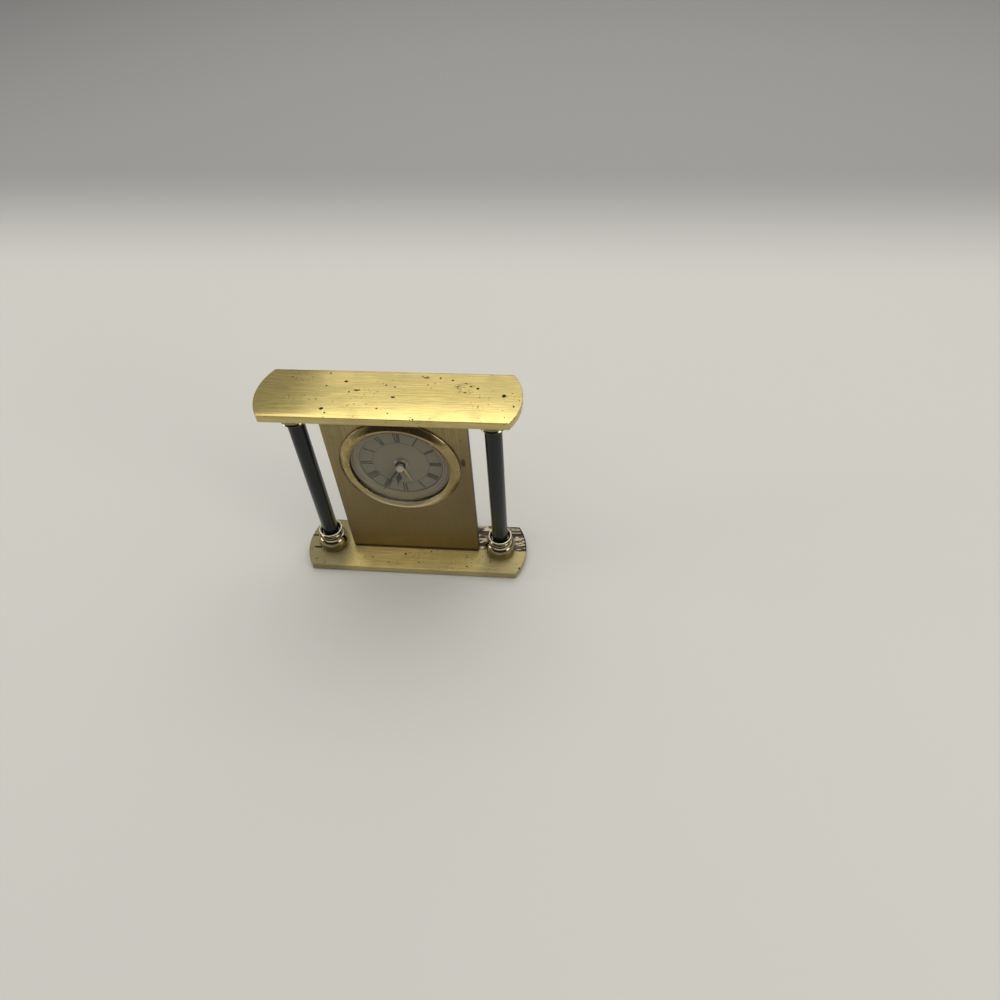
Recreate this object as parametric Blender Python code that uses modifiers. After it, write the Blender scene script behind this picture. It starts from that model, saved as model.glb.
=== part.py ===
"""Desk alarm clock: a round quartz alarm insert in a brass stand with two columns.

The clock stands on z = 0, looks towards -Y and has +X on its right-hand side, seen from the front.
Its origin is the middle of the underside. All values are in metres.
"""

from math import asin, cos, hypot, pi, radians, sin, sqrt, tau

import bmesh
import bpy

mm = 0.001

# Clearances
seat_gap = 0.2 * mm
running_gap = 0.15 * mm
weld_distance = 0.0005 * mm

# Angles in degrees between faces: shading, broken edges and faces that count as flat
sharp_angle = 32.0
edge_angle = 40.0
flat_angle = 0.1

# Sides of round pieces
ring_sides = 32
turned_sides = 16
small_sides = 8

# Stand: two brass bars with bowed ends
plate_length = 110.5 * mm
plate_corner_length = 101.7 * mm
plate_depth = 29.3 * mm
plate_thick = 3.7 * mm
plate_edge = 0.3 * mm
plate_spacing = 96.2 * mm
pad_thick = 0.6 * mm
pad_inset = 1.5 * mm

# Stand: columns and their collars
column_inset = 12.75 * mm
column_radius = 3.8 * mm
collar_height = 11.2 * mm
collar_foot_radius = 6.9 * mm
collar_belly_radius = 7.45 * mm
collar_belly_height = 3.0 * mm
collar_groove_radius = 5.15 * mm
collar_groove_height = 7.2 * mm
collar_bead_radius = 5.6 * mm
collar_neck_radius = 4.95 * mm
collar_neck_height = 9.4 * mm
collar_rim_radius = 5.6 * mm
collar_rim_wall = 0.4 * mm
collar_cup_radius = 4.1 * mm
collar_cup_depth = 3.0 * mm
collar_bead_steps = 2
collar_belly_steps = 3
collar_foot_steps = 2

# Stand: screws and pins
tie_radius = 1.5 * mm
tie_head_radius = 3.0 * mm
tie_head_height = 1.6 * mm
tie_reach = 2.4 * mm
panel_screw_inset = 9.85 * mm
panel_screw_radius = 0.8 * mm
panel_screw_head_radius = 1.6 * mm
panel_screw_head_height = 1.0 * mm
panel_screw_reach = 6.0 * mm
panel_pin_reach = 2.4 * mm
screw_slot_width = 0.6 * mm
screw_slot_depth = 0.5 * mm

# Face panel
panel_inset = 23.4 * mm
panel_thick = 3.0 * mm
panel_edge = 0.2 * mm
clock_height = 63.8 * mm
panel_hole_radius = 24.8 * mm

# Bezel, lens, dial ring and dial; heights are towards the viewer from the middle of the panel
bezel_radius = 27.2 * mm
bezel_edge_height = 0.6 * mm
bezel_ridge_radius = 24.1 * mm
bezel_ridge_height = 2.7 * mm
bezel_swell = 1.35
bezel_opening_radius = 22.3 * mm
bezel_lip_width = 1.5 * mm
bezel_lip_drop = 0.8 * mm
bezel_slope_steps = 3
bezel_skirt_wall = 0.5 * mm
bezel_skirt_depth = 2.3 * mm
lens_radius = 23.2 * mm
lens_thick = 1.2 * mm
lens_rise = 4.0 * mm
lens_steps = 4
dial_ring_radius = 22.4 * mm
dial_ring_opening = 18.9 * mm
dial_ring_lip = 0.3 * mm
dial_height = -0.5 * mm
dial_thick = 0.4 * mm
dial_hole_radius = 3.1 * mm
dial_bush_wall = 0.5 * mm
dial_bush_lip = 0.3 * mm

# Case of the insert
case_rim_height = 1.2 * mm
case_inner_radius = 22.0 * mm
case_wall = 1.2 * mm
case_band_depth = 5.2 * mm
case_taper_depth = 7.0 * mm
case_back_depth = 11.0 * mm
case_back_wall = 1.2 * mm
case_back_chamfer = 0.8 * mm
sound_holes = 6
sound_hole_radius = 0.7 * mm
sound_hole_spread = 2.6 * mm
grip_ring_radius = 26.4 * mm
grip_ring_width = 2.6 * mm

# Hands, drawn at 12 o'clock and turned by their angles on the dial, in degrees
minute_hand_angle = 213.0
hour_hand_lag = 4.75
hour_hand_angle = minute_hand_angle / 12 + 180.0 - hour_hand_lag
alarm_hand_angle = 160.0
hand_thick = 0.3 * mm
alarm_hand_height = 0.1 * mm
hour_hand_height = 0.9 * mm
minute_hand_height = 1.8 * mm
alarm_hand_length = 11.5 * mm
alarm_hand_half_width = 0.3 * mm
alarm_hub_radius = 2.25 * mm
hour_hand_length = 13.9 * mm
hour_spade_at = 8.2 * mm
hour_spade_half_width = 1.42 * mm
hour_hub_radius = 2.45 * mm
minute_hand_length = 18.6 * mm
minute_hand_half_width = 0.5 * mm
minute_taper_start = 14.0 * mm
minute_hub_radius = 1.7 * mm
hand_stem_half_width = 0.4 * mm
hand_tip_half_width = 0.08 * mm
spade_shoulder = 1.25
spade_fall = 1.9
spade_steps = 5
cap_radius = 1.75 * mm
cap_height = 2.2 * mm
cap_shape = ((0, 1), (0.6, 0.94), (0.9, 0.7), (1, 0.35), (1, 0))

# Arbor and tubes on the middle axis
arbor_radius = 0.6 * mm
tube_wall = 0.4 * mm
tube_end = 0.05 * mm
pivot_radius = 0.3 * mm

# Plates of the movement, as depths behind the middle of the panel
main_plate_radius = 22.4 * mm
main_plate_thick = 1.2 * mm
train_plate_depth = 5.3 * mm
train_plate_thick = 0.6 * mm
train_plate_left = -10.2 * mm
train_plate_right = 13.5 * mm
train_plate_low = -6.5 * mm
train_plate_high = 16.2 * mm
bridge_depth = 8.5 * mm
bridge_thick = 0.6 * mm
bridge_left = -9.4 * mm
bridge_right = 7.7 * mm
bridge_low = -6.0 * mm
bridge_high = 14.9 * mm
plate_corner_radius = 1.5 * mm
pillar_radius = 0.9 * mm
pillar_inset = 1.3 * mm
bridge_post_inset = 1.0 * mm
bridge_post_high_left = 7.5 * mm
bridge_post_high_right = 5.0 * mm

# Gear wheels: module, teeth and thickness
motion_module = 0.5 * mm
hour_module = 0.4 * mm
alarm_module = 0.4 * mm
train_module = 0.2133 * mm
wheel_thick = 0.6 * mm
train_wheel_thick = 0.3 * mm
cannon_teeth = 6
motion_teeth = 18
motion_pinion_teeth = 6
hour_teeth = 24
setting_teeth = 6
alarm_teeth = 30
alarm_setting_teeth = 10
centre_teeth = 48
third_teeth = 45
seconds_teeth = 45
intermediate_teeth = 24
pinion_teeth = 6
tooth_above = 0.8
tooth_below = 1.1
tooth_root_share = 0.27
tooth_tip_share = 0.13
finest_flat_tooth = 0.45 * mm

# Directions from one axis of the trains to the next, in degrees, seen from the front
motion_direction = 30.0
setting_direction = 15.0
alarm_setting_direction = 150.0
third_direction = 100.0
seconds_direction = 60.0
intermediate_direction = 170.0
rotor_direction = 160.0

# Depths of the wheels, front faces
alarm_wheel_depth = 2.6 * mm
hour_wheel_depth = 3.4 * mm
motion_wheel_depth = 4.3 * mm
centre_wheel_depth = 6.15 * mm
seconds_wheel_depth = 6.95 * mm
third_wheel_depth = 7.65 * mm
pivot_front = 5.4 * mm
pivot_back = 9.0 * mm

# Motor
rotor_radius = 1.9 * mm
rotor_depth = 7.1 * mm
rotor_thick = 1.1 * mm
stator_depth = 7.5 * mm
stator_thick = 0.4 * mm
stator_ring_wall = 0.6 * mm
stator_arm_height = 1.4 * mm
stator_foot_width = 2.4 * mm
stator_foot_reach = 0.3 * mm
stator_arm_low = 1.5 * mm
stator_arm_start = 0.5 * mm
stator_step = 0.1 * mm
stator_post_left = 2.35 * mm
stator_post_left_high = 2.5 * mm
stator_post_right_high = 2.2 * mm
coil_height = 17.9 * mm
coil_half_length = 6.0 * mm
coil_radius = 2.1 * mm
core_half_length = 8.8 * mm
core_depth = 8.1 * mm
core_thick = 1.0 * mm
core_width = 1.2 * mm
coil_flange = 0.5 * mm

# Battery, circuit, sounder and controls, placed from the middle axis
battery_radius = 5.8 * mm
battery_thick = 5.4 * mm
battery_low = -13.7 * mm
battery_depth = 5.4 * mm
battery_button_radius = 4.0 * mm
battery_rim = 0.5 * mm
contact_thick = 0.3 * mm
contact_width = 2.5 * mm
contact_plus_height = 4.3 * mm
fusing_step = 0.01 * mm
board_left = 8.5 * mm
board_right = 15.5 * mm
board_low = -14.0 * mm
board_high = -2.0 * mm
board_depth = 6.5 * mm
board_thick = 0.8 * mm
board_corner_radius = 0.6 * mm
chip_half_width = 1.4 * mm
chip_height = 0.7 * mm
crystal_radius = 1.0 * mm
crystal_length = 6.0 * mm
crystal_inset = 1.5 * mm
buzzer_across = -13.2 * mm
buzzer_up = -7.5 * mm
buzzer_radius = 6.0 * mm
buzzer_thick = 1.2 * mm
buzzer_face_radius = 4.8 * mm
buzzer_edge_thick = 0.7 * mm
knob_radius = 3.0 * mm
knob_thick = 1.9 * mm
knob_ridges = 12
knob_ridge_height = 0.25 * mm
knob_ridge_slope = 0.1
knob_gap = 0.3 * mm
knob_shaft_radius = 0.75 * mm
knob_shaft_front = 1.5 * mm
cover_half_width = 6.0 * mm
cover_length = 12.0 * mm
cover_top = -7.7 * mm
cover_notch_radius = 1.6 * mm
switch_across = 11.0 * mm
switch_up = -6.5 * mm
switch_travel = 2.4 * mm
switch_stem = 1.4 * mm
switch_width = 2.6 * mm
switch_grip_height = 1.0 * mm
switch_foot_height = 0.9 * mm

# Places along the bars, worked out from the sizes above
column_spread = plate_length / 2 - column_inset
panel_width = plate_length - 2 * panel_inset
panel_screw_spread = panel_width / 2 - panel_screw_inset

# Heights above the table, worked out from the sizes above
base_bottom = pad_thick + seat_gap
base_top = base_bottom + plate_thick
top_bottom = base_top + plate_spacing
collar_cup_floor = collar_height - collar_cup_depth
column_bottom = base_top + seat_gap + collar_cup_floor + seat_gap
column_top = top_bottom - seat_gap - collar_cup_floor - seat_gap

# Heights towards the viewer, worked out from the sizes above
bezel_back = panel_thick / 2 + seat_gap
bezel_bore_radius = lens_radius + seat_gap
case_outer_radius = panel_hole_radius - seat_gap
case_skirt_radius = case_outer_radius - bezel_skirt_wall - seat_gap
lens_back = case_rim_height + seat_gap
bezel_lip_height = lens_back + lens_thick + seat_gap
main_plate_front = dial_height - dial_thick - seat_gap
main_plate_back = main_plate_front - main_plate_thick
cap_bottom = minute_hand_height + hand_thick + seat_gap

# Radii of the tubes on the middle axis
hour_tube_bore = arbor_radius + running_gap
hour_tube_radius = hour_tube_bore + tube_wall
alarm_tube_bore = hour_tube_radius + running_gap
alarm_tube_radius = alarm_tube_bore + tube_wall

parts = bpy.data.collections.new("desk_alarm_clock")
cutters = bpy.data.collections.new("cutters")
finishes = {}


# Materials


def make_finish(name, color, roughness, metallic=0.0, transmission=0.0):
    """A plain Principled material in the piece's own colour."""
    finish = bpy.data.materials.new(name)
    finish.use_nodes = True
    shader = finish.node_tree.nodes["Principled BSDF"]
    shader.inputs["Base Color"].default_value = (*color, 1.0)
    shader.inputs["Roughness"].default_value = roughness
    shader.inputs["Metallic"].default_value = metallic
    shader.inputs["Transmission Weight"].default_value = transmission
    finish.diffuse_color = (*color, 1.0)
    finish.roughness = roughness
    finish.metallic = metallic
    finishes[name] = finish


def make_finishes():
    make_finish("brushed_brass", (0.62, 0.50, 0.22), 0.34, 1.0)
    make_finish("panel_brass", (0.36, 0.28, 0.12), 0.38, 1.0)
    make_finish("polished_brass", (0.78, 0.60, 0.26), 0.14, 1.0)
    make_finish("column_black", (0.025, 0.030, 0.028), 0.35)
    make_finish("felt", (0.03, 0.05, 0.035), 0.95)
    make_finish("steel", (0.62, 0.62, 0.60), 0.30, 1.0)
    make_finish("lens_clear", (0.95, 0.97, 0.96), 0.04, 0.0, 1.0)
    make_finish("dial_cream", (0.72, 0.70, 0.60), 0.55)
    make_finish("ring_grey", (0.50, 0.50, 0.44), 0.35)
    make_finish("hand_black", (0.012, 0.012, 0.012), 0.40)
    make_finish("hand_gold", (0.72, 0.55, 0.20), 0.28, 1.0)
    make_finish("cap_cream", (0.66, 0.61, 0.52), 0.45)
    make_finish("case_black", (0.018, 0.018, 0.018), 0.50)
    make_finish("rubber", (0.02, 0.02, 0.02), 0.80)
    make_finish("movement_white", (0.70, 0.70, 0.66), 0.55)
    make_finish("gear_white", (0.80, 0.80, 0.76), 0.45)
    make_finish("magnet", (0.12, 0.12, 0.13), 0.45, 0.6)
    make_finish("copper", (0.68, 0.28, 0.12), 0.35, 1.0)
    make_finish("circuit_green", (0.03, 0.16, 0.07), 0.45)
    make_finish("battery_steel", (0.66, 0.66, 0.66), 0.25, 1.0)


# Ways of making a shape


def add(name, data, finish, place=(0, 0, 0), parent=None):
    """Put a new object among the parts."""
    piece = bpy.data.objects.new(name, data)
    piece.location = place
    piece.parent = parent
    parts.objects.link(piece)
    if finish:
        data.materials.append(finishes[finish])
    return piece


def hide_as_cutter(tool):
    parts.objects.unlink(tool)
    cutters.objects.link(tool)
    tool.hide_render = True
    tool.display_type = "WIRE"


def combine(piece, tool, operation):
    modifier = piece.modifiers.new(tool.name, "BOOLEAN")
    modifier.operation = operation
    modifier.object = tool
    hide_as_cutter(tool)


def cut(piece, *tools):
    for tool in tools:
        combine(piece, tool, "DIFFERENCE")


def fuse(piece, *others):
    for other in others:
        combine(piece, other, "UNION")


def shade(mesh):
    mesh.shade_smooth()
    mesh.set_sharp_from_angle(angle=radians(sharp_angle))


def settled_mesh(name, drawn, merge_flat=False):
    """The evaluated shape of a helper object as a plain welded mesh; the helper is removed."""
    cutters.objects.link(drawn)
    bpy.context.view_layer.update()
    graph = bpy.context.evaluated_depsgraph_get()
    mesh = bpy.data.meshes.new_from_object(drawn.evaluated_get(graph))
    mesh.name = name
    bpy.data.objects.remove(drawn)
    work = bmesh.new()
    work.from_mesh(mesh)
    bmesh.ops.remove_doubles(work, verts=work.verts, dist=weld_distance)
    if merge_flat:
        bmesh.ops.dissolve_limit(work, angle_limit=radians(flat_angle), verts=work.verts, edges=work.edges)
    work.to_mesh(mesh)
    work.free()
    shade(mesh)
    return mesh


def turned_mesh(name, profile, sides, ring):
    """Turn a profile of (radius, height) points about Z.

    The profile runs down its outer side. A ring's profile then comes back up the bore.
    """
    count = len(profile)
    edges = [(point, point + 1) for point in range(count - 1)]
    if ring:
        edges.append((count - 1, 0))
    mesh = bpy.data.meshes.new(name + "_profile")
    mesh.from_pydata([(radius, 0, height) for radius, height in profile], edges, [])
    drawn = bpy.data.objects.new(name + "_profile", mesh)
    turn = drawn.modifiers.new("turn", "SCREW")
    turn.steps = sides
    turn.render_steps = sides
    turn.use_merge_vertices = True
    turn.merge_threshold = weld_distance
    return settled_mesh(name, drawn)


def turned(name, profile, finish, sides=turned_sides, ring=False, place=(0, 0, 0), parent=None):
    return add(name, turned_mesh(name, profile, sides, ring), finish, place, parent)


def drum(name, radius, low, high, finish=None, sides=turned_sides, place=(0, 0, 0), parent=None):
    """A plain cylinder on Z between two heights."""
    profile = [(0, high), (radius, high), (radius, low), (0, low)]
    return turned(name, profile, finish, sides, False, place, parent)


def pipe(name, radius, bore, low, high, finish=None, sides=turned_sides, place=(0, 0, 0), parent=None):
    """A plain tube on Z between two heights."""
    profile = [(radius, high), (radius, low), (bore, low), (bore, high)]
    return turned(name, profile, finish, sides, True, place, parent)


def flat(name, loops, low, high, finish=None, place=(0, 0, 0), parent=None):
    """A flat outline, with its holes, as a plate between two heights."""
    curve = bpy.data.curves.new(name + "_outline", "CURVE")
    curve.dimensions = "2D"
    curve.fill_mode = "BOTH"
    curve.extrude = (high - low) / 2
    for loop in loops:
        spline = curve.splines.new("POLY")
        spline.points.add(len(loop) - 1)
        for point, (across, up) in zip(spline.points, loop):
            point.co = (across, up, 0, 1)
        spline.use_cyclic_u = True
    mesh = settled_mesh(name, bpy.data.objects.new(name + "_outline", curve), len(loops) == 1)
    for vertex in mesh.vertices:
        vertex.co.z += (high + low) / 2
    return add(name, mesh, finish, place, parent)


def block(name, left, right, front, back, low, high, finish=None, place=(0, 0, 0), parent=None):
    """A box between its limits along X, Y and Z."""
    mesh = bpy.data.meshes.new(name)
    work = bmesh.new()
    bmesh.ops.create_cube(work, size=1.0)
    for vertex in work.verts:
        vertex.co.x = left if vertex.co.x < 0 else right
        vertex.co.y = front if vertex.co.y < 0 else back
        vertex.co.z = low if vertex.co.z < 0 else high
    work.to_mesh(mesh)
    work.free()
    return add(name, mesh, finish, place, parent)


def soften(piece, width):
    """Break the sharp edges; the facets of round sides stay as they are."""
    bevel = piece.modifiers.new("edge", "BEVEL")
    bevel.width = width
    bevel.segments = 1
    bevel.limit_method = "ANGLE"
    bevel.angle_limit = radians(edge_angle)


# Outlines


def circle(radius, sides, across=0.0, up=0.0):
    return [(across + radius * cos(tau * side / sides), up + radius * sin(tau * side / sides))
            for side in range(sides)]


def rounded_box(left, right, low, high, radius, corner_steps=4):
    """A rectangle with round corners, anticlockwise from the lower right."""
    points = []
    corners = ((right - radius, low + radius, -pi / 2), (right - radius, high - radius, 0),
               (left + radius, high - radius, pi / 2), (left + radius, low + radius, pi))
    for across, up, start in corners:
        for step in range(corner_steps + 1):
            angle = start + pi / 2 * step / corner_steps
            points.append((across + radius * cos(angle), up + radius * sin(angle)))
    return points


def bar_outline(inset=0.0, steps=8):
    """A bar with straight long sides and bowed ends, as seen from above."""
    rise = (plate_length - plate_corner_length) / 2
    half_chord = plate_depth / 2
    bow = (half_chord ** 2 + rise ** 2) / (2 * rise)
    middle = plate_length / 2 - bow
    radius = bow - inset
    spread = asin((half_chord - inset) / radius)
    points = []
    for facing in (0, pi):
        side = cos(facing)
        for step in range(steps + 1):
            angle = facing - spread + 2 * spread * step / steps
            points.append((side * middle + radius * cos(angle), radius * sin(angle)))
    return points


def tooth_outline(teeth, module, phase):
    """Slim teeth that leave play in their mating gap; the finest end in a point."""
    pitch = module * teeth / 2
    root = pitch - tooth_below * module
    tip = pitch + tooth_above * module
    corners = ((root, -tooth_root_share), (tip, -tooth_tip_share),
               (tip, tooth_tip_share), (root, tooth_root_share))
    if module < finest_flat_tooth:
        corners = ((root, -tooth_root_share), (tip, 0), (root, tooth_root_share))
    points = []
    for tooth in range(teeth):
        for radius, side in corners:
            angle = phase + tau * (tooth + side) / teeth
            points.append((radius * cos(angle), radius * sin(angle)))
    return points


def spade_outline(length, spade_at, spade_half_width):
    """A hand at 12 o'clock: a stem, a spade and a needle point."""
    stem_end = spade_at - spade_shoulder * spade_half_width
    fall = spade_fall * spade_half_width
    spread = spade_half_width - hand_stem_half_width
    right = [(hand_stem_half_width, 0.0), (hand_stem_half_width, stem_end)]
    for step in range(1, spade_steps + 1):
        turn = pi / 2 * step / spade_steps
        right.append((hand_stem_half_width + spread * sin(turn),
                      stem_end + (spade_at - stem_end) * (1 - cos(turn))))
    for step in range(1, spade_steps + 1):
        share = step / spade_steps
        right.append((hand_stem_half_width + spread * (1 + cos(pi * share)) / 2, spade_at + fall * share))
    right.append((hand_tip_half_width, length))
    left = [(-across, up) for across, up in reversed(right)]
    return right + left


def baton_outline(length, half_width, taper_start):
    """A slim hand at 12 o'clock that widens from its stem and tapers to a point."""
    return [(hand_stem_half_width, 0.0), (half_width, taper_start / 2), (half_width, taper_start),
            (hand_tip_half_width, length), (-hand_tip_half_width, length), (-half_width, taper_start),
            (-half_width, taper_start / 2), (-hand_stem_half_width, 0.0)]


def needle_outline(length, half_width):
    return [(half_width, 0.0), (hand_tip_half_width, length),
            (-hand_tip_half_width, length), (-half_width, 0.0)]


# Axes of the gear trains, seen from the front


def step_from(start, distance, direction):
    return (start[0] + distance * cos(radians(direction)),
            start[1] + distance * sin(radians(direction)))


def spacing(module, teeth, mate):
    return module * (teeth + mate) / 2


def mating_phase(phase, teeth, mate, direction):
    """The phase that puts a gap of the mate on each tooth that points at it."""
    towards = radians(direction)
    return towards + pi - (phase - towards) * teeth / mate + pi / mate


motion_axis = step_from((0, 0), spacing(motion_module, cannon_teeth, motion_teeth), motion_direction)
setting_axis = step_from(motion_axis, spacing(motion_module, motion_teeth, setting_teeth),
                         setting_direction)
alarm_setting_axis = step_from((0, 0), spacing(alarm_module, alarm_teeth, alarm_setting_teeth),
                               alarm_setting_direction)
third_axis = step_from((0, 0), spacing(train_module, centre_teeth, pinion_teeth), third_direction)
seconds_axis = step_from(third_axis, spacing(train_module, third_teeth, pinion_teeth),
                         seconds_direction)
intermediate_axis = step_from(seconds_axis, spacing(train_module, seconds_teeth, pinion_teeth),
                              intermediate_direction)
rotor_axis = step_from(intermediate_axis, spacing(train_module, intermediate_teeth, pinion_teeth),
                       rotor_direction)


# Stand


def make_bar(name, low):
    bar = flat(name, [bar_outline()], low, low + plate_thick, "brushed_brass")
    soften(bar, plate_edge)
    return bar


def screw_hole(name, across, radius, head_radius, head_height):
    """A stepped drill for the base plate, with room for a screw and its sunk head."""
    step = base_bottom + head_height + 2 * seat_gap
    profile = [(0, base_top + plate_thick), (radius + seat_gap, base_top + plate_thick),
               (radius + seat_gap, step), (head_radius + seat_gap, step),
               (head_radius + seat_gap, base_bottom - plate_thick), (0, base_bottom - plate_thick)]
    return turned(name, profile, None, 2 * small_sides, place=(across, 0, 0))


def make_bars():
    base = make_bar("base_plate", base_bottom)
    top = make_bar("top_plate", top_bottom)
    for side, word in ((-1, "left"), (1, "right")):
        tie_across = side * column_spread
        pin_across = side * panel_screw_spread
        cut(base,
            screw_hole(f"tie_hole_{word}", tie_across, tie_radius, tie_head_radius, tie_head_height),
            screw_hole(f"panel_screw_hole_{word}", pin_across, panel_screw_radius,
                       panel_screw_head_radius, panel_screw_head_height))
        cut(top,
            drum(f"tie_top_hole_{word}", tie_radius + seat_gap, top_bottom - plate_thick,
                 top_bottom + tie_reach + seat_gap, place=(tie_across, 0, 0)),
            drum(f"pin_top_hole_{word}", panel_screw_radius + seat_gap, top_bottom - plate_thick,
                 top_bottom + panel_pin_reach + seat_gap, sides=small_sides,
                 place=(pin_across, 0, 0)))


def make_pad():
    flat("felt_pad", [bar_outline(pad_inset)], 0, pad_thick, "felt")


def collar_profile():
    """From the floor of the cup over its rim, down the outside and back up the bore."""
    bore = tie_radius + seat_gap
    points = [(bore, collar_cup_floor), (collar_cup_radius, collar_cup_floor),
              (collar_cup_radius, collar_neck_height),
              (collar_rim_radius - collar_rim_wall, collar_height),
              (collar_rim_radius, collar_height), (collar_neck_radius, collar_neck_height)]
    for step in range(1, collar_bead_steps + 1):
        share = step / collar_bead_steps
        inner = collar_neck_radius + (collar_groove_radius - collar_neck_radius) * share
        points.append((inner + (collar_bead_radius - inner) * sin(pi * share),
                       collar_neck_height + (collar_groove_height - collar_neck_height) * share))
    for step in range(1, collar_belly_steps + 1):
        turn = pi / 2 * step / collar_belly_steps
        points.append((collar_groove_radius + (collar_belly_radius - collar_groove_radius) * sin(turn),
                       collar_belly_height + (collar_groove_height - collar_belly_height) * cos(turn)))
    for step in range(1, collar_foot_steps + 1):
        turn = pi / 2 * step / collar_foot_steps
        points.append((collar_foot_radius + (collar_belly_radius - collar_foot_radius) * cos(turn),
                       collar_belly_height * (1 - sin(turn))))
    points.append((bore, 0))
    return points


def make_columns():
    collar = turned_mesh("collar", collar_profile(), turned_sides, True)
    collar.materials.append(finishes["polished_brass"])
    column = turned_mesh("column", [(column_radius, column_top), (column_radius, column_bottom),
                                    (tie_radius + seat_gap, column_bottom),
                                    (tie_radius + seat_gap, column_top)], turned_sides, True)
    column.materials.append(finishes["column_black"])
    for side, word in ((-1, "left"), (1, "right")):
        across = side * column_spread
        add(f"column_{word}", column, None, (across, 0, 0))
        add(f"collar_lower_{word}", collar, None, (across, 0, base_top + seat_gap))
        upper = add(f"collar_upper_{word}", collar, None, (across, 0, top_bottom - seat_gap))
        upper.rotation_euler.x = pi


def make_screw(name, across, radius, head_radius, head_height, top):
    """A slotted screw that goes in from below, its head sunk in the base plate."""
    head_low = base_bottom + seat_gap
    head_top = head_low + head_height
    profile = [(0, top), (radius, top), (radius, head_top), (head_radius, head_top),
               (head_radius, head_low), (0, head_low)]
    screw = turned(name, profile, "steel", small_sides, place=(across, 0, 0))
    cut(screw, block(name + "_slot", -2 * head_radius, 2 * head_radius, -screw_slot_width / 2,
                     screw_slot_width / 2, 0, head_low + screw_slot_depth, place=(across, 0, 0)))


def make_fixings():
    for side, word in ((-1, "left"), (1, "right")):
        make_screw(f"tie_screw_{word}", side * column_spread, tie_radius, tie_head_radius,
                   tie_head_height, top_bottom + tie_reach)
        make_screw(f"panel_screw_{word}", side * panel_screw_spread, panel_screw_radius,
                   panel_screw_head_radius, panel_screw_head_height, base_top + panel_screw_reach)
        drum(f"panel_pin_{word}", panel_screw_radius, top_bottom - panel_screw_reach,
             top_bottom + panel_pin_reach, "steel", small_sides, (side * panel_screw_spread, 0, 0))


def make_panel(face):
    low = base_top + seat_gap
    high = top_bottom - seat_gap
    panel = block("face_panel", -panel_width / 2, panel_width / 2, -panel_thick / 2,
                  panel_thick / 2, low, high, "panel_brass")
    soften(panel, panel_edge)
    cut(panel, drum("panel_hole", panel_hole_radius, -panel_thick, panel_thick, sides=ring_sides,
                    parent=face))
    for side, word in ((-1, "left"), (1, "right")):
        across = side * panel_screw_spread
        cut(panel,
            drum(f"panel_lower_hole_{word}", panel_screw_radius + seat_gap, base_bottom,
                 base_top + panel_screw_reach + seat_gap, sides=small_sides, place=(across, 0, 0)),
            drum(f"panel_upper_hole_{word}", panel_screw_radius + seat_gap,
                 top_bottom - panel_screw_reach - seat_gap, top_bottom + plate_thick, sides=small_sides,
                 place=(across, 0, 0)))


# Front of the insert; here Z points to the viewer


def make_bezel(face):
    ridge = bezel_back + bezel_ridge_height
    profile = [(bezel_opening_radius, ridge - bezel_lip_drop),
               (bezel_opening_radius + bezel_lip_width, ridge),
               (bezel_ridge_radius, ridge)]
    for step in range(1, bezel_slope_steps + 1):
        share = step / bezel_slope_steps
        drop = (bezel_ridge_height - bezel_edge_height) * share ** bezel_swell
        profile.append((bezel_ridge_radius + (bezel_radius - bezel_ridge_radius) * share, ridge - drop))
    profile += [(bezel_radius, bezel_back),
                (case_outer_radius, bezel_back),
                (case_outer_radius, bezel_back - bezel_skirt_depth),
                (case_outer_radius - bezel_skirt_wall, bezel_back - bezel_skirt_depth),
                (case_outer_radius - bezel_skirt_wall, case_rim_height),
                (bezel_bore_radius, case_rim_height + seat_gap),
                (bezel_bore_radius, bezel_lip_height),
                (bezel_opening_radius, bezel_lip_height)]
    turned("bezel", profile, "polished_brass", ring_sides, True, parent=face)


def dome(radius, low):
    """Points of the lens's shallow dome from its middle out to its rim."""
    ball = (radius ** 2 + lens_rise ** 2) / (2 * lens_rise)
    points = []
    for step in range(lens_steps + 1):
        out = radius * step / lens_steps
        points.append((out, low + lens_rise - ball + sqrt(ball ** 2 - out ** 2)))
    return points


def make_lens(face):
    front = lens_back + lens_thick
    outer = dome(bezel_opening_radius - seat_gap, front)
    inner = dome(bezel_opening_radius - seat_gap - lens_thick / 2, lens_back)
    profile = outer + [(lens_radius, front), (lens_radius, lens_back)] + inner[::-1]
    turned("lens", profile, "lens_clear", ring_sides, parent=face)


def make_dial(face):
    flat("dial", [circle(dial_ring_radius, ring_sides), circle(dial_hole_radius, turned_sides)],
         dial_height - dial_thick, dial_height, "dial_cream", parent=face)
    low = dial_height + seat_gap
    turned("dial_ring", [(dial_ring_radius, case_rim_height), (dial_ring_radius, low),
                         (dial_ring_opening, low), (dial_ring_opening, low + dial_ring_lip),
                         (dial_ring_radius - dial_ring_lip, case_rim_height)],
           "ring_grey", ring_sides, True, parent=face)
    bush_radius = dial_hole_radius - seat_gap
    pipe("dial_bush", bush_radius, bush_radius - dial_bush_wall, dial_height - dial_thick,
         dial_height + dial_bush_lip, "steel", turned_sides, parent=face)


def make_hand(name, outline, hub_radius, bore, height, angle, finish, face):
    hand = flat(name, [outline], height, height + hand_thick, finish, parent=face)
    hub = drum(name + "_hub", hub_radius, height, height + hand_thick, parent=face)
    hole = drum(name + "_hole", bore, height - hand_thick, height + 2 * hand_thick,
                sides=small_sides, parent=face)
    for piece in (hand, hub, hole):
        piece.rotation_euler.z = -radians(angle)
    fuse(hand, hub)
    cut(hand, hole)


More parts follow.
